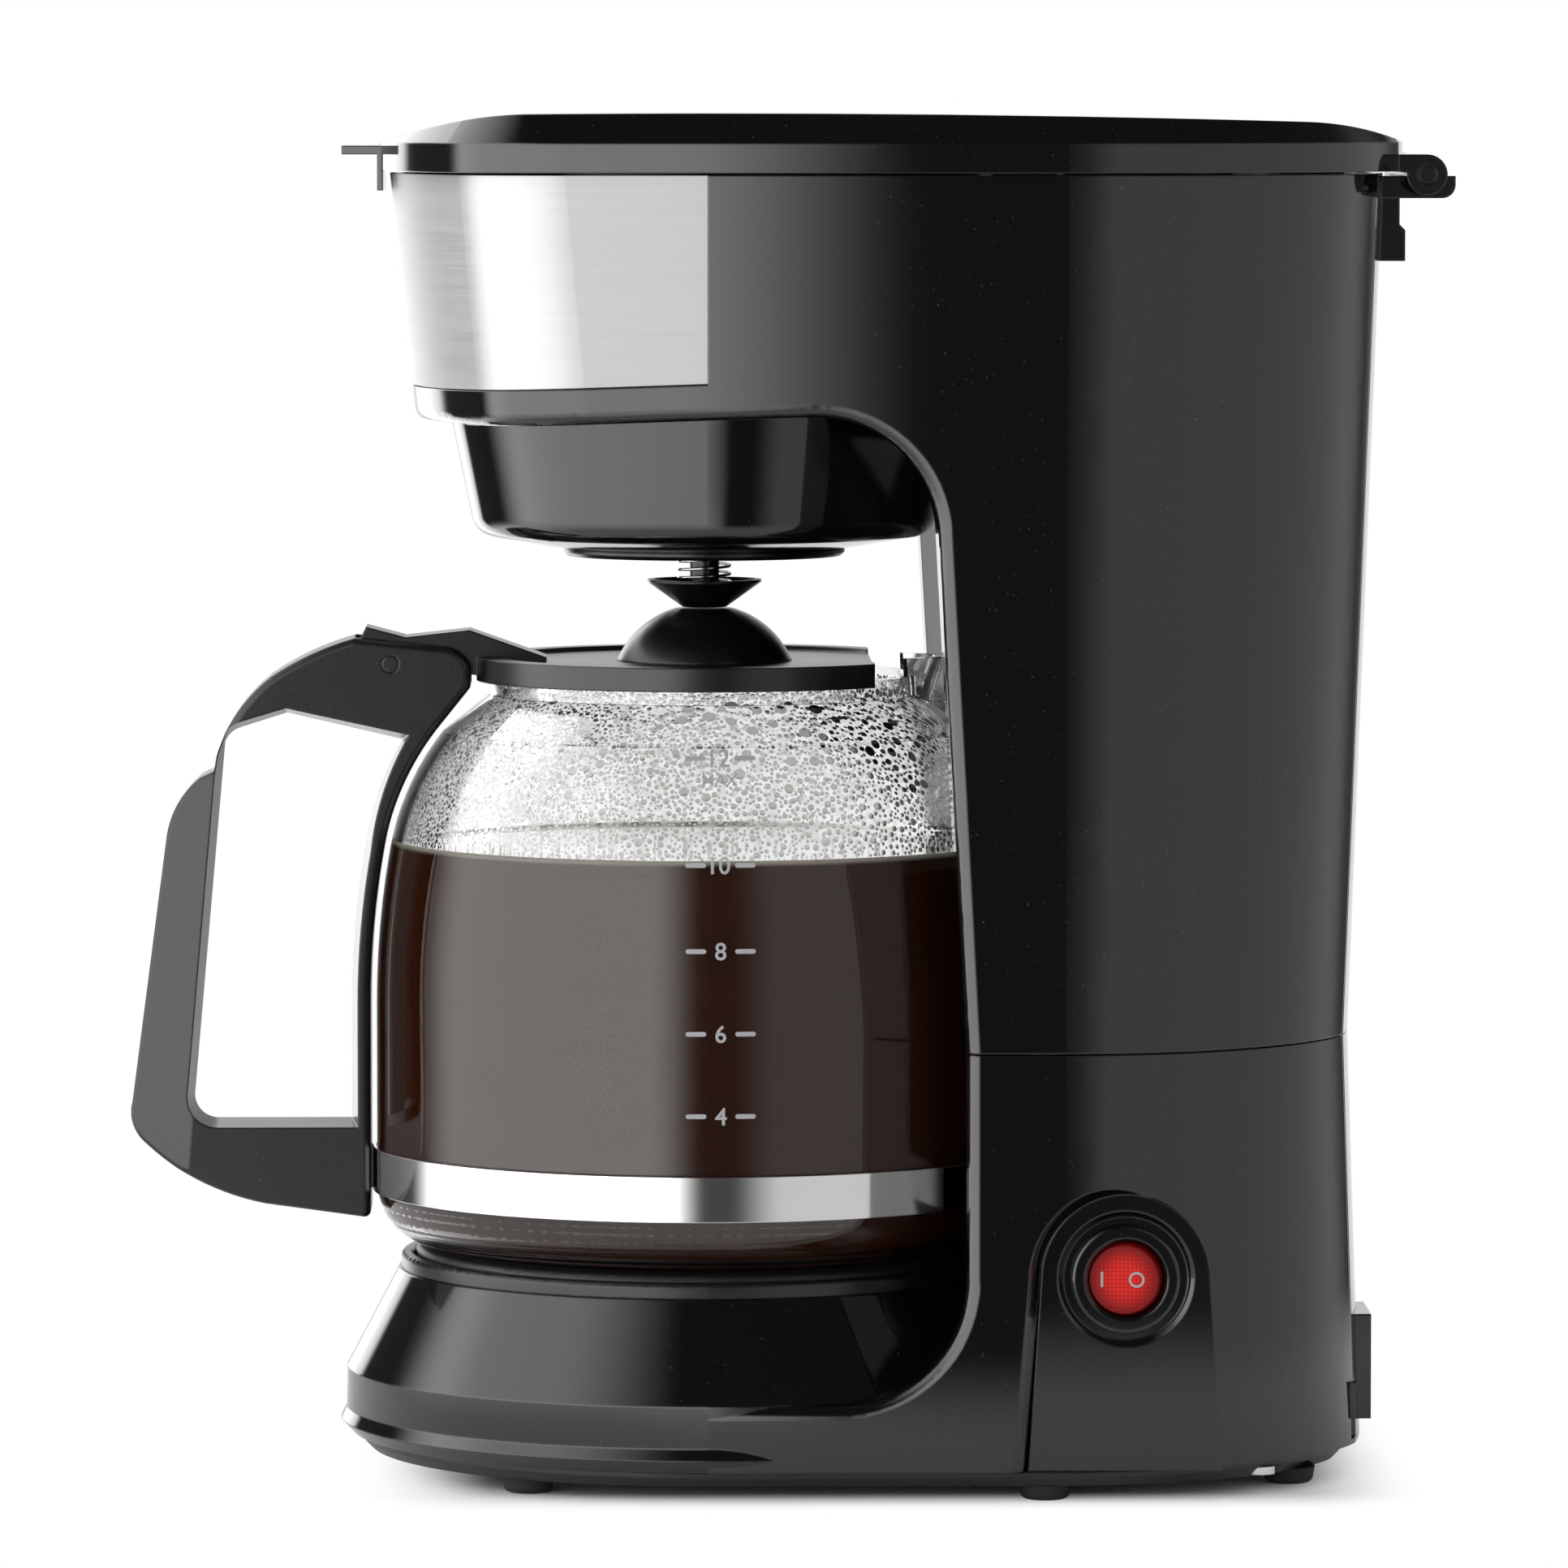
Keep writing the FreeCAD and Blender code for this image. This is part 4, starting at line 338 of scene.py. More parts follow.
@dataclass(frozen=True)
class Brushed(Finish):
    """Sheet steel brushed along its length."""

    pale: Colour
    dark: Colour
    roughness: float = 0.58
    spread: float = 0.08
    anisotropy: float = 0.58
    quarter_turn: float = 0.25
    edge: float = 0.3 * MM
    bulge: float = 1.0
    relief: float = 0.006 * MM

    def draw(self, sheet: Sheet, effects: Effects) -> bpy.types.Node:
        """Adds the nodes and returns the shader."""
        brushing = sheet.group(effects.brushing, {"Depth": 1.0})
        edge = sheet.group(effects.crowning, {"Radius": self.edge, "Bulge": self.bulge})
        bump = sheet.node("Bump", {
            "Strength": 1.0, "Distance": self.relief,
            "Height": brushing.outputs["Height"], "Normal": edge.outputs["Normal"],
        })
        stroke = sheet.ramp(brushing.outputs["Stroke"], 0.3, 0.7)
        rough = sheet.sum("MULTIPLY_ADD", stroke, self.spread, self.roughness - self.spread / 2)
        along = sheet.node("Tangent", direction_type="RADIAL", axis="Z").outputs["Tangent"]
        return sheet.node("BsdfPrincipled", {
            "Base Color": sheet.mix(stroke, self.dark, self.pale),
            "Metallic": 1.0,
            "Roughness": rough,
            "Anisotropic": self.anisotropy,
            "Anisotropic Rotation": self.quarter_turn,
            "Tangent": along,
            "Normal": bump.outputs["Normal"],
        })


@dataclass(frozen=True)
class Bright(Finish):
    """Polished steel."""

    colour: Colour
    roughness: float
    spread: float = 0.05
    dust: float = 0.3
    dust_shade: float = 0.8
    edge: float = 0.3 * MM

    def draw(self, sheet: Sheet, effects: Effects) -> bpy.types.Node:
        """Adds the nodes and returns the shader."""
        handling = sheet.group(
            effects.handling, {"Roughness": self.roughness, "Spread": self.spread, "Dust": self.dust}
        )
        edge = sheet.group(effects.edges, {"Radius": self.edge})
        dull = tuple(value * self.dust_shade for value in self.colour)
        return sheet.node("BsdfPrincipled", {
            "Base Color": sheet.mix(handling.outputs["Dust"], self.colour, dull),
            "Metallic": 1.0,
            "Roughness": handling.outputs["Roughness"],
            "Normal": edge.outputs["Normal"],
        })


@dataclass(frozen=True)
class Clear(Finish):
    """Clear glass or water, which lets light through to what is behind it."""

    colour: Colour
    ior: float
    haze: float = 0.0
    haze_from: float = 0.0
    haze_fade: float = 3.0 * MM
    passing: float = 0.9

    def draw(self, sheet: Sheet, effects: Effects) -> bpy.types.Node:
        """Adds the nodes and returns the shader."""
        shader = sheet.node("BsdfPrincipled", {
            "Base Color": (*self.colour, 1.0), "Roughness": 0.0, "IOR": self.ior, "Transmission Weight": 1.0,
        })
        if self.haze:
            place = sheet.node("TexCoord").outputs["Object"]
            height = sheet.node("SeparateXYZ", {"Vector": place}).outputs["Z"]
            damp = sheet.ramp(height, self.haze_from, self.haze_from + self.haze_fade)
            patchy = sheet.ramp(sheet.noise(300.0, 3.0), 0.35, 0.7)
            film = sheet.sum("MULTIPLY", sheet.sum("MULTIPLY", damp, patchy), self.haze)
            sheet.tree.links.new(film, shader.inputs["Roughness"])
        shaded = sheet.node("LightPath").outputs["Is Shadow Ray"]
        passed = sheet.node("BsdfTransparent", {"Color": (self.passing, self.passing, self.passing, 1.0)})
        return sheet.node("MixShader", {0: shaded, 1: shader.outputs[0], 2: passed.outputs[0]})


@dataclass(frozen=True)
class Brew(Finish):
    """Coffee with a pale band at its upper edge: partly the thinner coffee there, partly painted light for
    the bright line along the coffee's surface.
    """

    colour: Colour
    thin_and_lit: Colour
    level: float
    dip: float = 0.6 * MM
    rise: float = 0.9 * MM
    cloudy: float = 0.25
    cloud_shade: float = 1.6
    roughness: float = 0.03
    ior: float = 1.5
    coat_ior: float = 1.9

    def draw(self, sheet: Sheet, effects: Effects) -> bpy.types.Node:
        """Adds the nodes and returns the shader."""
        place = sheet.node("TexCoord").outputs["Object"]
        height = sheet.node("SeparateXYZ", {"Vector": place}).outputs["Z"]
        # Painted light: from just under the level to the top of the meniscus the colour is mixed towards the
        # pale one, for the bright line along the coffee's edge as well as the thinner coffee.
        edge = sheet.ramp(height, self.level - self.dip, self.level + self.rise)
        cloud = sheet.sum("MULTIPLY", sheet.noise(60.0, 3.0), self.cloudy)
        facing = sheet.node("NewGeometry").outputs["Normal"]
        upward = sheet.node("SeparateXYZ", {"Vector": facing}).outputs["Z"]
        body = sheet.mix(cloud, self.colour, tuple(self.cloud_shade * value for value in self.colour))
        return sheet.node("BsdfPrincipled", {
            "Base Color": sheet.mix(edge, body, self.thin_and_lit),
            "Roughness": self.roughness,
            "IOR": self.ior,
            "Coat Weight": sheet.ramp(upward, 0.6, 0.95),
            "Coat IOR": self.coat_ior,
        })


@dataclass(frozen=True)
class LitLens(Finish):
    """Clear red plastic with a lamp behind it and a fine grid moulded inside."""

    deep: Colour
    lit: Colour
    centre: Point
    radius: float
    glow: float
    core_share: float = 0.25
    rim_light: float = 0.12
    line_light: float = 0.62
    pitch: float = 0.9 * MM
    roughness: float = 0.22
    ior: float = 1.22

    def draw(self, sheet: Sheet, effects: Effects) -> bpy.types.Node:
        """Adds the nodes and returns the shader."""
        place = sheet.node("TexCoord").outputs["Object"]
        offset = sheet.vector("SUBTRACT", place, self.centre)
        away = sheet.vector("LENGTH", offset)
        near = sheet.ramp(away, self.radius * self.core_share, self.radius, 1.0, self.rim_light)
        parts = sheet.node("SeparateXYZ", {"Vector": offset})
        lines = []
        for side in ("Y", "Z"):
            turn = sheet.sum("MULTIPLY", parts.outputs[side], 2 * math.pi / self.pitch)
            lines.append(sheet.sum("COSINE", turn))
        grid = sheet.ramp(sheet.sum("MAXIMUM", *lines), 0.4, 1.0, 1.0, self.line_light)
        light = sheet.sum("MULTIPLY", near, grid)
        return sheet.node("BsdfPrincipled", {
            "Base Color": sheet.mix(light, self.deep, self.lit),
            "Roughness": self.roughness,
            "IOR": self.ior,
            "Emission Color": sheet.mix(light, (0.0, 0.0, 0.0), self.lit),
            "Emission Strength": self.glow,
        })


def mesh_object(name: str, points: np.ndarray, faces: list, smooth: bool = True) -> bpy.types.Object:
    """Makes an object from points and faces and puts it in the scene.

    Args:
        name: the object's name.
        points: one row of x, y and z for each point.
        faces: the point numbers of each face.
        smooth: whether the faces shade into each other.

    Returns:
        The object.
    """
    mesh = bpy.data.meshes.new(name)
    mesh.from_pydata([tuple(map(float, point)) for point in points], [], faces)
    mesh.update()
    mesh.polygons.foreach_set("use_smooth", [smooth] * len(mesh.polygons))
    made = bpy.data.objects.new(name, mesh)
    bpy.context.scene.collection.objects.link(made)
    return made


def straight_view(sheet: Sheet) -> bpy.types.NodeSocket:
    """One where a ray comes from the camera straight or through glass only, and nought in a mirror."""
    path = sheet.node("LightPath").outputs
    unmirrored = sheet.sum("LESS_THAN", path["Glossy Depth"], 0.5)
    through = sheet.sum("MULTIPLY", path["Is Transmission Ray"], unmirrored)
    return sheet.sum("MAXIMUM", path["Is Camera Ray"], through)


@dataclass(frozen=True)
class LightScreen:
    """A lit screen bent round the object that fades at its edges and shows only in what mirrors it.

    Angles are degrees round the upright axis from the switch side, towards the rear, so that a
    negative one is on the camera's left.  Dull surfaces get the share spread_light of it, and bare
    glass mirrors the share sharp_light.
    """

    name: str
    turn: Span
    height: Span
    strength: float
    turn_fade: Span
    height_fade: Span
    radius: float = 2.2
    spread_light: float = 0.45
    sharp_light: float = 0.3
    steps: int = 24

    def build(self) -> bpy.types.Object:
        """Makes the screen.

        Returns:
            The screen, facing the object.
        """
        row = self.steps + 1
        turns = np.radians(np.linspace(*self.turn, row))
        points = [
            (self.radius * math.cos(turn), self.radius * math.sin(turn), height)
            for height in self.height for turn in turns
        ]
        faces = [(i, i + row, i + row + 1, i + 1) for i in range(self.steps)]
        screen = mesh_object(self.name, np.array(points), faces)
        screen.data.materials.append(self._material())
        for ray in ("camera", "shadow"):
            setattr(screen, f"visible_{ray}", False)
        return screen

    def _material(self) -> bpy.types.Material:
        """Light that fades out at each edge and lets what is behind it show."""
        material = bpy.data.materials.new(self.name)
        material.use_nodes = True
        sheet = Sheet(material.node_tree)
        place = sheet.node("SeparateXYZ", {"Vector": sheet.node("TexCoord").outputs["Object"]}).outputs
        turn = sheet.sum("MULTIPLY", sheet.sum("ARCTAN2", place["Y"], place["X"]), 180.0 / math.pi)
        share = sheet.sum("SUBTRACT", 1.0, sheet.node("NewGeometry").outputs["Backfacing"])
        spans = ((turn, self.turn, self.turn_fade), (place["Z"], self.height, self.height_fade))
        for value, (start, end), (fade_in, fade_out) in spans:
            share = sheet.sum("MULTIPLY", share, sheet.ramp(value, start, start + fade_in))
            share = sheet.sum("MULTIPLY", share, sheet.ramp(value, end, end - fade_out))
        light = sheet.node("Emission", {
            "Color": WHITE, "Strength": sheet.sum("MULTIPLY", share, self._level(sheet)),
        })
        through = sheet.node("AddShader", {0: light.outputs[0], 1: sheet.node("BsdfTransparent").outputs[0]})
        sheet.node("OutputMaterial", {"Surface": through.outputs[0]})
        material.cycles.emission_sampling = "FRONT"
        return material

    def _level(self, sheet: Sheet) -> bpy.types.NodeSocket:
        """How bright a ray finds the screen, which is dark to one that only came through glass."""
        path = sheet.node("LightPath").outputs
        outside = sheet.sum("SUBTRACT", 1.0, path["Is Transmission Ray"])
        sharp = sheet.sum("MULTIPLY", path["Is Singular Ray"], outside)
        on_dull = sheet.sum(
            "MULTIPLY_ADD", path["Is Diffuse Ray"], (self.spread_light - 1.0) * self.strength, self.strength
        )
        in_glass = sheet.sum("MULTIPLY_ADD", sharp, self.sharp_light - 1.0, 1.0)
        mirrored = sheet.sum("MAXIMUM", outside, sheet.sum("GREATER_THAN", path["Glossy Depth"], 0.5))
        return sheet.sum("MULTIPLY", sheet.sum("MULTIPLY", on_dull, in_glass), mirrored)


@dataclass
class Studio:
    """The camera, the floor, the sky and the lit screens."""

    azimuth: float = 89.0
    elevation: float = 3.9
    distance: float = 2.3
    aim: Point = (0.0, -0.00085, 0.1546)
    lens: float = 231.2
    sensor: float = 36.0
    floor_size: float = 9.0
    stand_middle: Point = (0.0, 0.022, 0.0)
    stand_half: Point = (0.060, 0.088, 1.0)
    shadow_reach: float = 0.032
    mirror_near: float = 0.16
    mirror_far: float = 0.40
    floor_shade: Colour = (0.90, 0.90, 0.90)
    room_light: float = 0.06
    overhead_light: float = 0.7
    ambient_light: float = 0.62

    def build(self) -> None:
        """Sets up everything that isn't part of the object."""
        self._camera()
        self._floor()
        self._sky()
        for screen in self.screens():
            screen.build()
            LOG.info("screen %s", screen.name)

    @staticmethod
    def screens() -> list[LightScreen]:
        """Bright screens on the camera's left, a dimmer one on its right, and a dark gap at the camera."""
        return [
            LightScreen(
                "screen_left", turn=(-122.0, -1.0), height=(-0.95, 1.5), strength=3.0,
                turn_fade=(26.0, 20.0), height_fade=(0.7, 0.9),
            ),
            LightScreen(
                "screen_front", turn=(-168.0, -143.0), height=(-0.95, 1.5), strength=2.2,
                turn_fade=(5.0, 5.0), height_fade=(0.7, 0.9),
            ),
            LightScreen(
                "screen_low", turn=(-179.0, -4.0), height=(-3.8, -0.3), strength=1.85,
                turn_fade=(4.0, 12.0), height_fade=(1.4, 0.6),
            ),
            LightScreen(
                "screen_high", turn=(-179.0, -20.0), height=(0.7, 4.8), strength=2.0,
                turn_fade=(4.0, 40.0), height_fade=(0.6, 2.8),
            ),
            LightScreen(
                "screen_right", turn=(7.0, 146.0), height=(-3.4, 1.8), strength=0.6,
                turn_fade=(20.0, 26.0), height_fade=(2.6, 0.9),
            ),
        ]

    def _camera(self) -> None:
        """A long lens on the switch side, a little above the middle."""
        data = bpy.data.cameras.new("camera")
        data.lens = self.lens
        data.sensor_width = self.sensor
        data.clip_end = 50.0
        camera = bpy.data.objects.new("camera", data)
        bpy.context.scene.collection.objects.link(camera)
        turn, rise = math.radians(self.azimuth), math.radians(self.elevation)
        back = Vector((math.sin(turn) * math.cos(rise), -math.cos(turn) * math.cos(rise), math.sin(rise)))
        camera.location = Vector(self.aim) + back * self.distance
        camera.rotation_mode = "QUATERNION"
        camera.rotation_quaternion = (-back).to_track_quat("-Z", "Y")
        bpy.context.scene.camera = camera

    def _floor(self) -> None:
        """A pale floor that keeps the shadow by the object, and is plain white farther off."""
        half = self.floor_size / 2
        corners = np.array([(-half, -half, 0), (half, -half, 0), (half, half, 0), (-half, half, 0)])
        floor = mesh_object("floor", corners, [(0, 1, 2, 3)])
        material = bpy.data.materials.new("floor")
        material.use_nodes = True
        sheet = Sheet(material.node_tree)
        place = sheet.node("TexCoord").outputs["Object"]
        across = sheet.vector("ABSOLUTE", sheet.vector("SUBTRACT", place, self.stand_middle))
        past = sheet.vector("SUBTRACT", across, self.stand_half)
        away = sheet.vector("LENGTH", sheet.vector("MAXIMUM", past, (0.0, 0.0, 0.0)))
        white = sheet.sum("MULTIPLY", sheet.ramp(away, 0.0, self.shadow_reach), straight_view(sheet))
        far = sheet.ramp(away, self.mirror_near, self.mirror_far)
        ended = sheet.sum("MULTIPLY", far, sheet.node("LightPath").outputs["Is Glossy Ray"])
        paper = sheet.node("BsdfDiffuse", {"Color": (*self.floor_shade, 1.0)})
        plain = sheet.node("Emission", {"Color": WHITE, "Strength": 1.0})
        open_floor = sheet.node("BsdfTransparent")
        mirrored = sheet.node("MixShader", {0: ended, 1: paper.outputs[0], 2: open_floor.outputs[0]})
        shown = sheet.node("MixShader", {0: white, 1: mirrored.outputs[0], 2: plain.outputs[0]})
        sheet.node("OutputMaterial", {"Surface": shown.outputs[0]})
        floor.data.materials.append(material)

    def _sky(self) -> None:
        """A white backdrop, a dim room on the camera's side, and even light on dull surfaces."""
        world = bpy.data.worlds.new("studio")
        world.use_nodes = True
        bpy.context.scene.world = world
        sheet = Sheet(world.node_tree)
        way = sheet.node("SeparateXYZ", {"Vector": sheet.node("TexCoord").outputs["Generated"]}).outputs
        path = sheet.node("LightPath").outputs
        behind = sheet.ramp(way["X"], -0.80, -0.97, self.room_light, 1.0)
        overhead = sheet.ramp(way["Z"], 0.35, 0.8, 1.0, self.overhead_light)
        backdrop = sheet.sum("MULTIPLY", behind, overhead)
        mirrored = sheet.sum("MULTIPLY", path["Is Glossy Ray"], backdrop)
        ambient = sheet.sum("MULTIPLY", path["Is Diffuse Ray"], self.ambient_light)
        shown = sheet.sum("MAXIMUM", straight_view(sheet), mirrored)
        light = sheet.node("Background", {"Color": WHITE, "Strength": sheet.sum("MAXIMUM", shown, ambient)})
        sheet.node("OutputWorld", {"Surface": light.outputs["Background"]})
        bpy.context.scene.view_settings.view_transform = "Standard"


class Slot(Enum):
    """The finishes, by the names of the record's material slots."""

    BLACK_GLOSS = "black_gloss"
    BLACK_SATIN = "black_satin"
    BRUSHED_PANEL = "brushed_panel"
    BRIGHT_STEEL = "bright_steel"
    FOOT_RUBBER = "foot_rubber"
    HOSE_SILICONE = "hose_silicone"
    TUBE_PLASTIC = "tube_plastic"
    PLATE_COATING = "plate_coating"
    HEATER_ALLOY = "heater_alloy"
    RED_LENS = "red_lens"
    CLEAR_GLASS = "clear_glass"
    COFFEE = "coffee"
    MARK_PRINT = "mark_print"


class Body(Enum):
    """The parts that move on their own."""

    MAKER = "maker"
    LID = "lid"
    ROCKER = "rocker"
    DRIP_STOP = "drip_stop"
    CARAFE = "carafe"


COFFEE_LEVEL = 141.2 * MM

FINISHES = {
    Slot.BLACK_GLOSS: Moulded(
        (0.0022, 0.0022, 0.0025), roughness=0.06, spread=0.03, dust=0.3,
        waves=0.25, edge=0.6 * MM, ior=1.65, bulge=1.0,
    ),
    Slot.BLACK_SATIN: Moulded(
        (0.0042, 0.0042, 0.0046), roughness=0.28, spread=0.08, dust=0.4,
        waves=0.2, grain=0.07, edge=0.7 * MM, ior=1.54,
    ),
    Slot.BRUSHED_PANEL: Brushed(pale=(0.58, 0.576, 0.568), dark=(0.52, 0.516, 0.508)),
    Slot.BRIGHT_STEEL: Bright((0.82, 0.81, 0.80), roughness=0.1),
    Slot.FOOT_RUBBER: Moulded(
        (0.014, 0.014, 0.014), roughness=0.75, spread=0.15, dust=0.6, waves=0.1, grain=0.25
    ),
    Slot.HOSE_SILICONE: Moulded(
        (0.62, 0.60, 0.55), roughness=0.36, spread=0.1, dust=0.3,
        waves=0.2, grain=0.06, edge=0.3 * MM,
    ),
    Slot.TUBE_PLASTIC: Moulded(
        (0.70, 0.70, 0.68), roughness=0.28, spread=0.1, dust=0.3,
        waves=0.2, grain=0.05, edge=0.3 * MM,
    ),
    Slot.PLATE_COATING: Moulded(
        (0.006, 0.006, 0.006), roughness=0.42, spread=0.12, dust=0.5, waves=0.1, grain=0.3
    ),
    Slot.HEATER_ALLOY: Moulded(
        (0.55, 0.55, 0.54), roughness=0.5, spread=0.2, dust=0.5,
        waves=0.4, grain=0.4, edge=0.5 * MM, metallic=0.95, dust_colour=(0.3, 0.29, 0.28),
    ),
    Slot.RED_LENS: LitLens(
        deep=(0.06, 0.001, 0.002), lit=(0.58, 0.018, 0.014),
        centre=(79.87 * MM, 73.03 * MM, 50.0 * MM), radius=8.6 * MM, glow=0.22,
    ),
    Slot.CLEAR_GLASS: Clear(
        (0.985, 0.99, 0.985), ior=1.48, haze=0.1, haze_from=COFFEE_LEVEL + 1.5 * MM
    ),
    # The coffee's pale edge colour is partly painted light along the coffee line.
    Slot.COFFEE: Brew((0.026, 0.0068, 0.0022), thin_and_lit=(0.60, 0.55, 0.46), level=COFFEE_LEVEL),
    Slot.MARK_PRINT: Moulded(
        (0.36, 0.36, 0.37), roughness=0.55, spread=0.1, dust=0.2, grain=0.2, edge=0.1 * MM
    ),
}
# Painted shade: the drops are clear water, tinted grey so that the condensation reads darker.
SHADED_WATER = Clear((0.64, 0.63, 0.622), ior=1.33)


@dataclass
class Assembly:
    """Solids that do one job together, with a finish for each."""

    solids: ClassVar[dict[Slot, tuple[str, ...]]] = {}
    nodes: dict[str, bpy.types.Object]
    finishes: dict[Slot, bpy.types.Material]
    effects: Effects

    def build(self) -> None:
        """Makes the pieces that aren't solids already."""

    def dress(self) -> None:
        """Gives each solid its finish."""
        for slot, names in self.solids.items():
            for name in names:
                self.paint(self.nodes[name], slot)
            LOG.info("%s in %s", ", ".join(names), slot.value)

    def paint(self, piece: bpy.types.Object, slot: Slot) -> None:
        """Puts a finish on a piece in place of what it had."""
        piece.data.materials.clear()
        piece.data.materials.append(self.finishes[slot])

    def carry(self, piece: bpy.types.Object, slot: Slot, body: Body) -> None:
        """Finishes a new piece and lets it ride.

        Args:
            piece: the piece, in place.
            slot: its finish.
            body: what it moves with.
        """
        self.paint(piece, slot)
        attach(piece, body.value)
        LOG.info("%s rides on %s", piece.name, body.value)


class Housing(Assembly):
    """The foot, the column and the head."""

    solids = {
        Slot.BLACK_GLOSS: ("base_housing", "upper_housing"),
        Slot.BLACK_SATIN: ("bottom_cover",),
        Slot.BRIGHT_STEEL: ("base_screws",),
        Slot.BRUSHED_PANEL: ("front_panel",),
        Slot.FOOT_RUBBER: ("cord_gland", *(f"foot_{number}" for number in range(1, 7))),
    }


class Heater(Assembly):
    """The hot plate and the way of the water."""

    solids = {
        Slot.PLATE_COATING: ("warming_plate",),
        Slot.BLACK_SATIN: ("plate_ring", "spray_arm"),
        Slot.HEATER_ALLOY: ("heating_element",),
        Slot.BRIGHT_STEEL: ("thermostat",),
        Slot.HOSE_SILICONE: ("inlet_hose", "outlet_hose"),
        Slot.TUBE_PLASTIC: ("riser_tube", "check_valve"),
    }


class Lid(Assembly):
    """The hinged cover."""

    solids = {Slot.BLACK_GLOSS: ("lid",), Slot.BLACK_SATIN: ("lid_hinge_pin",)}


@dataclass
class BrewHead(Assembly):
    """The bowl, the basket and the drip stop with its coil spring."""

    axis_y: float = -19.0 * MM
    coil_radius: float = 5.9 * MM
    wire_radius: float = 0.33 * MM
    wire_sides: int = 10
    turns: int = 6
    turn_steps: int = 40
    flat_share: float = 0.14
    spring_low: float = 197.95 * MM
    spring_high: float = 206.62 * MM

    solids = {
        Slot.BLACK_GLOSS: ("brew_bowl",),
        Slot.BLACK_SATIN: ("filter_basket", "valve_plate", "valve_stem", "valve_cup"),
        Slot.FOOT_RUBBER: ("valve_seal",),
    }

    def build(self) -> None:
        """Winds the spring between the guide disc and the cup."""
        low = self.spring_low + self.wire_radius
        high = self.spring_high - self.wire_radius
        share = np.linspace(0.0, 1.0, self.turns * self.turn_steps + 1)
        rise = np.clip((share - self.flat_share) / (1.0 - 2 * self.flat_share), 0.0, 1.0)
        turn = share * self.turns * 2 * math.pi
        across = self.coil_radius * np.cos(turn)
        along = self.axis_y + self.coil_radius * np.sin(turn)
        line = np.stack([across, along, low + (high - low) * rise], axis=1)
        spring = tube("coil_spring", line, self.wire_radius, self.wire_sides)
        self.paint(spring, Slot.BRIGHT_STEEL)
        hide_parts("valve_spring")
        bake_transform(spring)
        LOG.info("coil_spring bends between %s and %s", Body.MAKER.value, Body.DRIP_STOP.value)


def tube(name: str, line: np.ndarray, radius: float, sides: int) -> bpy.types.Object:
    """A round wire along a line, closed at both ends.

    Args:
        name: the object's name.
        line: the points of its middle.
        radius: the wire's radius.
        sides: points round the wire.

    Returns:
        The wire.
    """
    along = np.gradient(line, axis=0)
    along /= np.linalg.norm(along, axis=1)[:, None]
    flat = np.cross(along, (0.0, 0.0, 1.0))
    flat /= np.linalg.norm(flat, axis=1)[:, None]
    up = np.cross(flat, along)
    turn = np.arange(sides) * 2 * math.pi / sides
    ring = np.cos(turn)[None, :, None] * flat[:, None] + np.sin(turn)[None, :, None] * up[:, None]
    points = (line[:, None] + radius * ring).reshape(-1, 3)
    faces = []
    for row in range(len(line) - 1):
        for side in range(sides):
            first, second = row * sides + side, row * sides + (side + 1) % sides
            faces.append((first, second, second + sides, first + sides))
    faces.append(tuple(range(sides)))
    faces.append(tuple(range(len(points) - 1, len(points) - sides - 1, -1)))
    return mesh_object(name, points, faces)


def lathe(name: str, outline: list[tuple[float, float]], axis_y: float, sides: int = 160) -> bpy.types.Object:
    """Turns an outline round the carafe's axis.

    Args:
        name: the object's name.
        outline: radius and height of each point, from one end on the axis to the other.
        axis_y: where the axis stands.
        sides: points in a ring.

    Returns:
        The turned piece.
    """
    turn = np.arange(sides) * 2 * math.pi / sides
    middle = outline[1:-1]
    points = [(0.0, axis_y, outline[0][1])]
    for radius, height in middle:
        points.extend(zip(radius * np.cos(turn), axis_y + radius * np.sin(turn), [height] * sides))
    points.append((0.0, axis_y, outline[-1][1]))
    last = len(points) - 1
    faces = []
    for side in range(sides):
        after = (side + 1) % sides
        faces.append((0, 1 + after, 1 + side))
        for row in range(len(middle) - 1):
            low, high = 1 + row * sides, 1 + (row + 1) * sides
            faces.append((low + side, low + after, high + after, high + side))
        top = 1 + (len(middle) - 1) * sides
        faces.append((top + side, top + after, last))
    return mesh_object(name, np.array(points), faces)


def lettering(name: str, words: str, height: float, weight: float = 0.012) -> tuple[np.ndarray, list]:
    """Flat letters as points and faces, centred on the origin.

    Args:
        name: a name for the curve that draws them.
        words: the letters.
        height: the height of a capital.
        weight: how much bolder the strokes are, as a share of the height.

    Returns:
        Points with x to the right and y up, and the faces.
    """
    curve = bpy.data.curves.new(name, "FONT")
    curve.body = words
    curve.size = 1.0
    curve.offset = weight
    curve.resolution_u = 6
    drawn = bpy.data.objects.new(name, curve)
    bpy.context.scene.collection.objects.link(drawn)
    bpy.context.view_layer.update()
    mesh = bpy.data.meshes.new_from_object(drawn.evaluated_get(bpy.context.evaluated_depsgraph_get()))
    points = np.array([vertex.co for vertex in mesh.vertices])
    faces = [tuple(face.vertices) for face in mesh.polygons]
    bpy.data.objects.remove(drawn)
    points -= (points.min(axis=0) + points.max(axis=0)) / 2
    points *= height / (points[:, 1].max() - points[:, 1].min())
    return points, faces


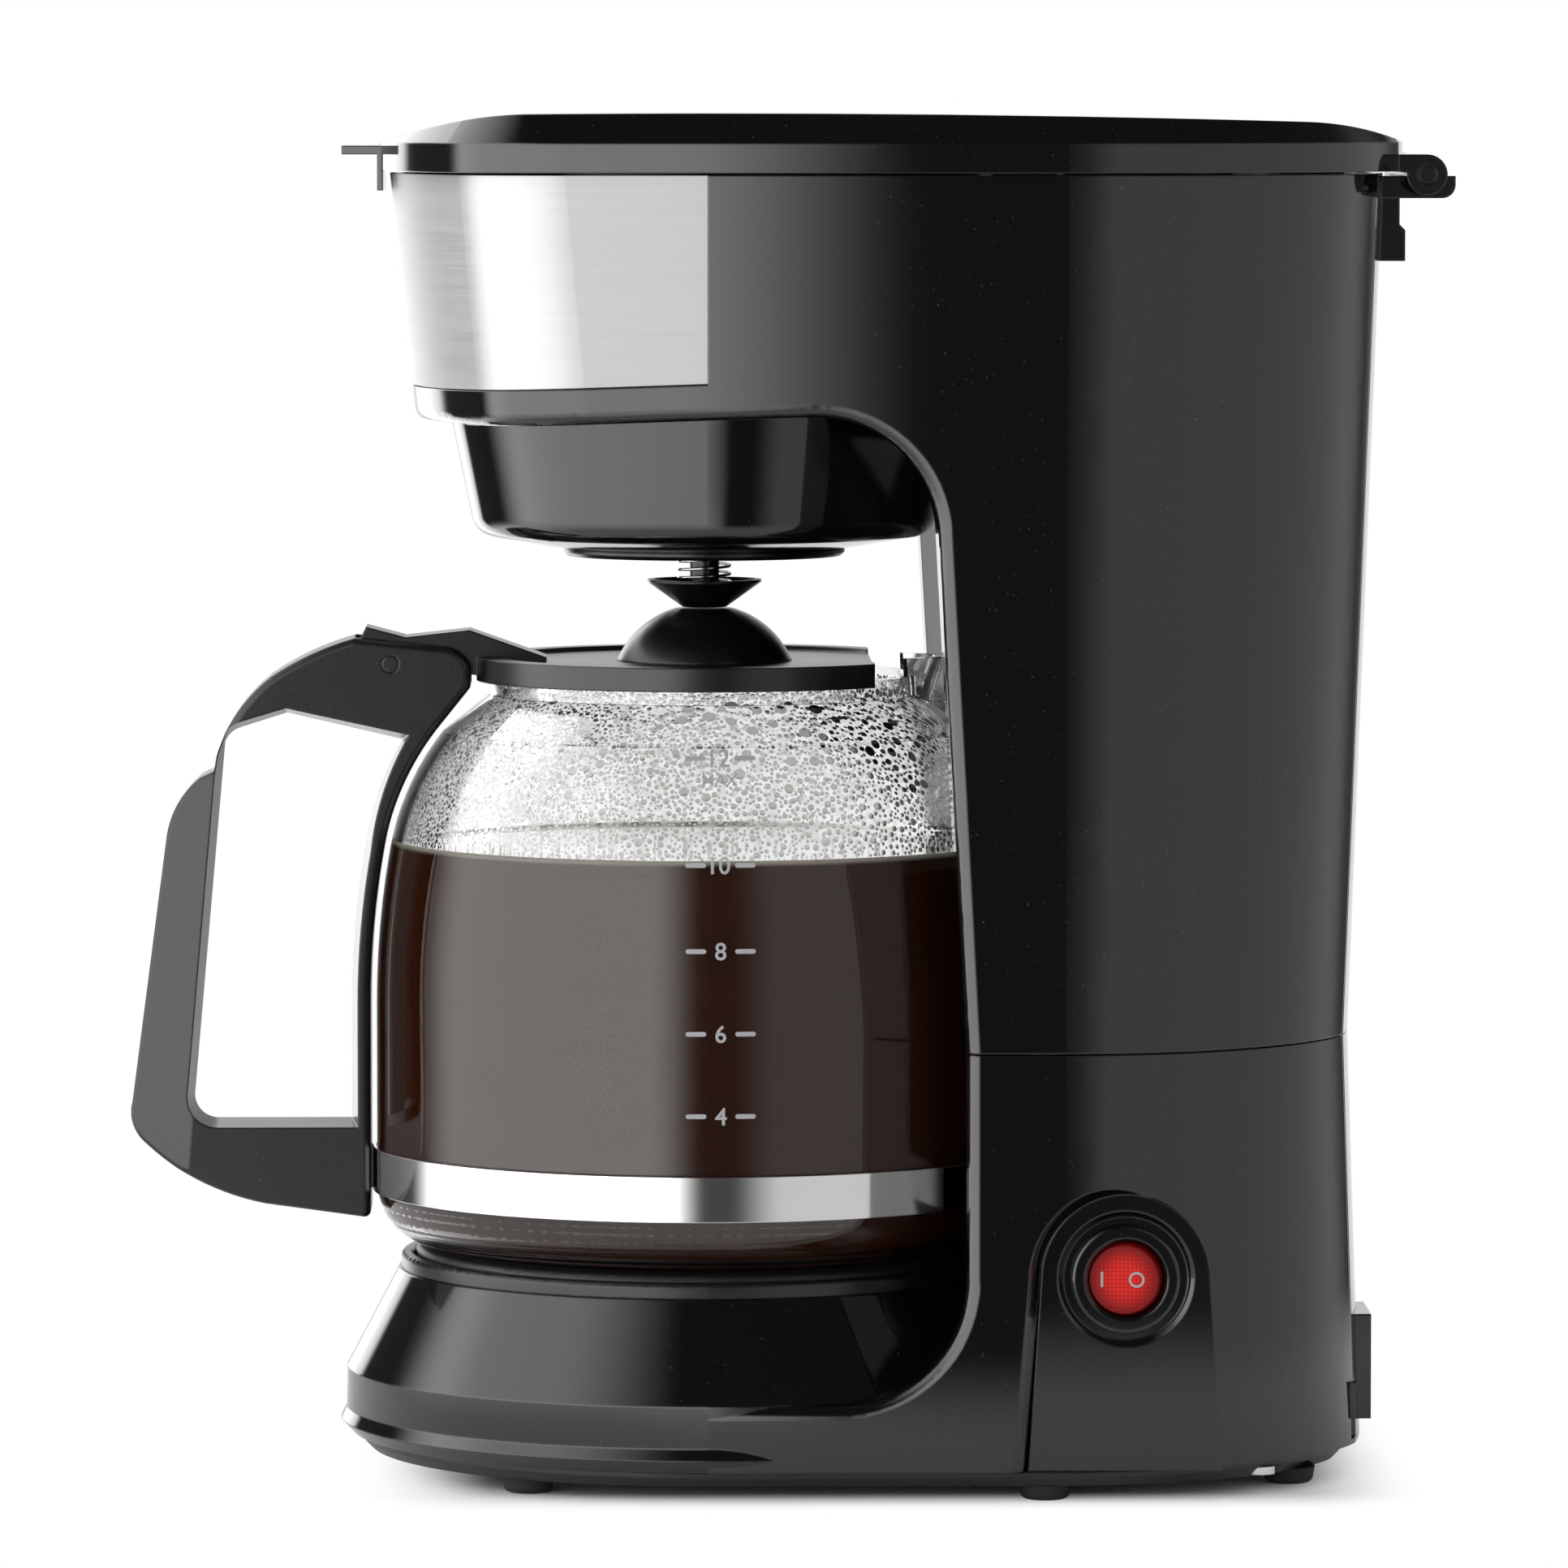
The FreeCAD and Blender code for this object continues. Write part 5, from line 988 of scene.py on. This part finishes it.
def bar(length: float, width: float, sides: int = 8) -> tuple[np.ndarray, list]:
    """A flat bar with round ends, centred on the origin.

    Args:
        length: from end to end.
        width: across it.
        sides: points on each round end.

    Returns:
        Its points and its one face.
    """
    turn = np.linspace(-math.pi / 2, math.pi / 2, sides)
    half = (length - width) / 2
    right = np.stack([half + width / 2 * np.cos(turn), width / 2 * np.sin(turn), 0 * turn], axis=1)
    points = np.concatenate([right, -right])
    return points, [tuple(range(2 * sides))]


def gathered(parts: list[tuple[np.ndarray, list]]) -> tuple[np.ndarray, list]:
    """Joins several sets of points and faces into one."""
    points, faces, count = [], [], 0
    for some, shapes in parts:
        points.append(some)
        faces.extend(tuple(number + count for number in shape) for shape in shapes)
        count += len(some)
    return np.concatenate(points), faces


@dataclass
class Switch(Assembly):
    """The round rocker with its lamp, and the marks printed on it."""

    face: Point = (79.867 * MM, 73.027 * MM, 50.0 * MM)
    lean: float = math.radians(-8.0)
    mark_height: float = 3.5 * MM
    on_width: float = 0.55 * MM
    off_width: float = 0.5 * MM
    ring_sides: int = 32
    on_offset: float = -4.9 * MM
    off_offset: float = 2.8 * MM
    print_lift: float = 0.05 * MM

    solids = {
        Slot.BLACK_GLOSS: ("switch_bezel",),
        Slot.BLACK_SATIN: ("switch_body",),
        Slot.RED_LENS: ("switch_rocker",),
    }

    def build(self) -> None:
        """Prints the on and off marks on the rocker."""
        stroke, shape = bar(self.mark_height, self.on_width)
        on_mark = (stroke[:, [1, 0, 2]] * (-1.0, 1.0, 1.0) + (self.on_offset, 0.0, 0.0), shape)
        count = self.ring_sides
        turn = np.arange(count) * 2 * math.pi / count
        ring = np.stack([np.cos(turn), np.sin(turn), 0 * turn], axis=1)
        outer, inner = ring * self.mark_height / 2, ring * (self.mark_height / 2 - self.off_width)
        rim = [(i, (i + 1) % count, count + (i + 1) % count, count + i) for i in range(count)]
        off_mark = (np.concatenate([outer, inner]) + (self.off_offset, 0.0, 0.0), rim)
        flat, faces = gathered([on_mark, off_mark])
        out = np.array([math.cos(self.lean), math.sin(self.lean), 0.0])
        across = np.array([-math.sin(self.lean), math.cos(self.lean), 0.0])
        upward = np.array([0.0, 0.0, 1.0])
        points = np.array(self.face) + self.print_lift * out + flat[:, :1] * across + flat[:, 1:2] * upward
        marks = mesh_object("rocker_marks", points, faces, smooth=False)
        self.carry(marks, Slot.MARK_PRINT, Body.ROCKER)


@dataclass(frozen=True)
class DropSort:
    """A sort of drop: how many are tried, their radii, and how much wider the topmost may be."""

    tries: int
    least: float
    most: float
    climb: float = 0.0


@dataclass(frozen=True)
class DropShape:
    """How a drop is drawn: its points and rings, how uneven its outline is and how steep its edge."""

    sides: int
    rings: int
    wobble: float
    tilts: Span


SMALL_DROP = DropShape(sides=7, rings=2, wobble=0.1, tilts=(0.6, 0.85))
LARGE_DROP = DropShape(sides=14, rings=4, wobble=0.05, tilts=(0.4, 0.55))


@dataclass
class Carafe(Assembly):
    """The glass jug, what is in it and what is printed on it."""

    axis_y: float = -19.0 * MM
    level: float = COFFEE_LEVEL
    bottom: float = 52.4 * MM
    bottom_rise: float = 1.6 * MM
    bottom_inset: float = 3.0 * MM
    overlap: float = 0.06 * MM
    coffee_rings: int = 44
    meniscus_rings: int = 7
    meniscus_gap: float = 0.02 * MM
    meniscus_width: float = 3.0 * MM
    meniscus_rise: float = 0.9 * MM
    rim: float = 178.5 * MM
    shore: float = 0.9 * MM
    wall_radius: float = 62.0 * MM
    seed: int = 11
    sorts: tuple[DropSort, ...] = (
        DropSort(330, 0.8 * MM, 0.9 * MM, 0.75 * MM),
        DropSort(4200, 0.5 * MM, 0.74 * MM),
        DropSort(30000, 0.3 * MM, 0.46 * MM),
    )
    large_from: float = 0.8 * MM
    rear_swell: float = 0.2
    search_cell: float = 4.2 * MM
    closeness: float = 0.98
    drop_lift: float = 0.02 * MM
    drop_sag: float = 0.12
    marks_y: float = -16.15 * MM
    rows: tuple[tuple[str, float], ...] = (
        ("4", 85.9 * MM), ("6", 104.2 * MM), ("8", 122.5 * MM), ("10", 141.4 * MM), ("12", 164.5 * MM),
    )
    number_height: float = 3.9 * MM
    dash_length: float = 4.6 * MM
    dash_width: float = 1.05 * MM
    dash_offset: float = 5.5 * MM
    limit_row: float = 159.9 * MM
    limit_height: float = 2.6 * MM
    limit_weight: float = 0.005
    print_lift: float = 0.06 * MM

    solids = {
        Slot.CLEAR_GLASS: ("carafe_glass",),
        Slot.BRIGHT_STEEL: ("carafe_band", "band_screw"),
        Slot.BLACK_SATIN: ("carafe_hinge_pin", "carafe_handle", "carafe_lid", "lid_dome"),
    }

    def build(self) -> None:
        """Fills the jug and prints its cup marks."""
        self._coffee()
        self._drops()
        self._marks()

    def wall(self, turn: float, height: float, inside: bool) -> tuple[Vector, Vector]:
        """A point of the glass and the way its surface faces.

        Args:
            turn: the angle round the axis from +X.
            height: the height.
            inside: the inner wall if true, else the outer.

        Returns:
            The point and the normal.
        """
        out = Vector((math.cos(turn), math.sin(turn), 0.0))
        middle = Vector((0.0, self.axis_y, height))
        start = middle if inside else middle + 0.2 * out
        found, point, normal, _ = self.nodes["carafe_glass"].ray_cast(start, out if inside else -out)
        if not found:
            raise ValueError(f"no glass at {turn}, {height}")
        return point, normal

    def _radius(self, height: float) -> float:
        """The inner radius at a height, on the side away from the spout."""
        point, _ = self.wall(0.0, height, True)
        return point.x

    def _coffee(self) -> None:
        """The coffee, drawn up a little where it meets the glass."""
        heights = np.linspace(self.bottom + self.bottom_rise, self.level, self.coffee_rings)
        outline = [(0.0, self.bottom), (self._radius(heights[0]) - self.bottom_inset, self.bottom)]
        outline += [(self._radius(height) + self.overlap, height) for height in heights]
        edge = outline[-1][0] - self.meniscus_gap
        for step in np.linspace(0.0, 1.0, self.meniscus_rings):
            climb = self.meniscus_rise * (1.0 - step) ** 2
            outline.append((edge - self.meniscus_width * step, self.level + climb))
        outline.append((0.0, self.level))
        fill = lathe("coffee_fill", outline, self.axis_y)
        self.carry(fill, Slot.COFFEE, Body.CARAFE)

    def _drops(self) -> None:
        """Condensation on the inner wall: close and small low down, larger and looser at the top."""
        dice = np.random.default_rng(self.seed)
        seeds = []
        wet = self.rim - self.level - self.shore
        for sort in self.sorts:
            for _ in range(sort.tries):
                turn = dice.uniform(-math.pi, math.pi)
                rise = dice.triangular(0.0, 1.0, 1.0) if sort.climb else dice.random()
                size = dice.uniform(sort.least, sort.most + sort.climb * rise)
                size *= 1.0 + self.rear_swell * math.sin(turn)
                height = self.level + self.shore + size + rise * (wet - 2 * size)
                seeds.append((turn, height, size))
        parts = [self._drop(*seed, dice) for seed in self._apart(seeds)]
        drops = mesh_object("condensation", *gathered(parts))
        # The drops carry the grey-tinted water, which is painted shade.
        drops.data.materials.append(SHADED_WATER.make("water_drops", self.effects))
        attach(drops, Body.CARAFE.value)
        LOG.info("condensation of %d drops", len(parts))

    def _apart(self, seeds: list[tuple[float, float, float]]) -> list[tuple[float, float, float]]:
        """Drops the seeds that would run into an earlier one.

        Args:
            seeds: turn, height and radius of each drop, the largest first.

        Returns:
            Those that stand clear.
        """
        cells: dict[tuple[int, int], list] = {}
        kept = []
        for turn, height, size in seeds:
            across = turn * self.wall_radius
            column, row = math.floor(across / self.search_cell), math.floor(height / self.search_cell)
            near = [
                other
                for i in (-1, 0, 1) for j in (-1, 0, 1)
                for other in cells.get((column + i, row + j), [])
            ]
            if all(
                math.hypot(across - x, height - z) > self.closeness * (size + wide) for x, z, wide in near
            ):
                cells.setdefault((column, row), []).append((across, height, size))
                kept.append((turn, height, size))
        return kept

    def _drop(self, turn: float, height: float, size: float, dice: np.random.Generator) -> tuple:
        """One drop on the inner wall.

        Args:
            turn: the angle round the axis.
            height: its height.
            size: its radius on the glass.
            dice: what makes each a little different.

        Returns:
            Its points and faces.
        """
        point, normal = self.wall(turn, height, True)
        inward = np.array(normal)
        if inward @ (math.cos(turn), math.sin(turn), 0.0) > 0:
            inward = -inward
        side = np.cross((0.0, 0.0, 1.0), inward)
        side /= np.linalg.norm(side)
        down = np.cross(side, inward)
        shape = SMALL_DROP if size < self.large_from else LARGE_DROP
        sides, rings = shape.sides, shape.rings
        angle = np.arange(sides) * 2 * math.pi / sides + dice.random()
        wobble = 1.0 + shape.wobble * dice.uniform(-1.0, 1.0, sides)
        wide = dice.uniform(0.9, 1.12)
        flat = (np.cos(angle) * wobble * wide)[:, None] * side + (np.sin(angle) * wobble)[:, None] * down
        middle = np.array(point) + self.drop_lift * inward
        sag = self.drop_sag * size * down
        tilt = dice.uniform(*shape.tilts)
        slopes = tilt * np.arange(rings, 0, -1) / rings
        swell = size / math.sin(tilt)
        levels = [
            middle + swell * math.sin(slope) * flat + swell * (math.cos(slope) - math.cos(tilt)) * inward
            + (1.0 - slope / tilt) * sag
            for slope in slopes
        ]
        peak = middle + swell * (1.0 - math.cos(tilt)) * inward + sag
        points = np.concatenate([levels[0], *levels, [peak]])
        faces = [tuple(range(sides - 1, -1, -1))]
        for row in range(1, rings + 1):
            for i in range(sides):
                first, second = row * sides + i, row * sides + (i + 1) % sides
                past = (second + sides, first + sides) if row < rings else (len(points) - 1,)
                faces.append((first, second, *past))
        return points, faces

    def _marks(self) -> None:
        """The cup marks, wrapped on the outside of the glass."""
        dash, outline = bar(self.dash_length, self.dash_width)
        parts = []
        for words, height in self.rows:
            parts += [(dash + (way * self.dash_offset, height, 0.0), outline) for way in (-1, 1)]
            points, faces = lettering("cup_number", words, self.number_height)
            parts.append((points + (0.0, height, 0.0), faces))
        points, faces = lettering("cup_limit", "MAX", self.limit_height, self.limit_weight)
        parts.append((points + (0.0, self.limit_row, 0.0), faces))
        flat, faces = gathered(parts)
        wrapped = []
        for across, height, _ in flat:
            point, _ = self.wall(0.0, height, False)
            turn = math.asin((self.marks_y - self.axis_y) / point.x) + across / point.x
            point, normal = self.wall(turn, height, False)
            wrapped.append(point + self.print_lift * normal)
        marks = mesh_object("cup_marks", np.array(wrapped), faces, smooth=False)
        self.carry(marks, Slot.MARK_PRINT, Body.CARAFE)


def main() -> None:
    """Loads the solids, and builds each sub-assembly."""
    logging.basicConfig(level=logging.INFO, format="%(message)s")
    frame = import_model()
    bpy.context.view_layer.update()
    effects = Effects()
    finishes = {slot: finish.make(slot.value, effects) for slot, finish in FINISHES.items()}
    Studio().build()
    for kind in (Housing, Heater, Lid, BrewHead, Switch, Carafe):
        assembly = kind(frame["nodes"], finishes, effects)
        assembly.dress()
        assembly.build()


if __name__ == "__main__":
    main()
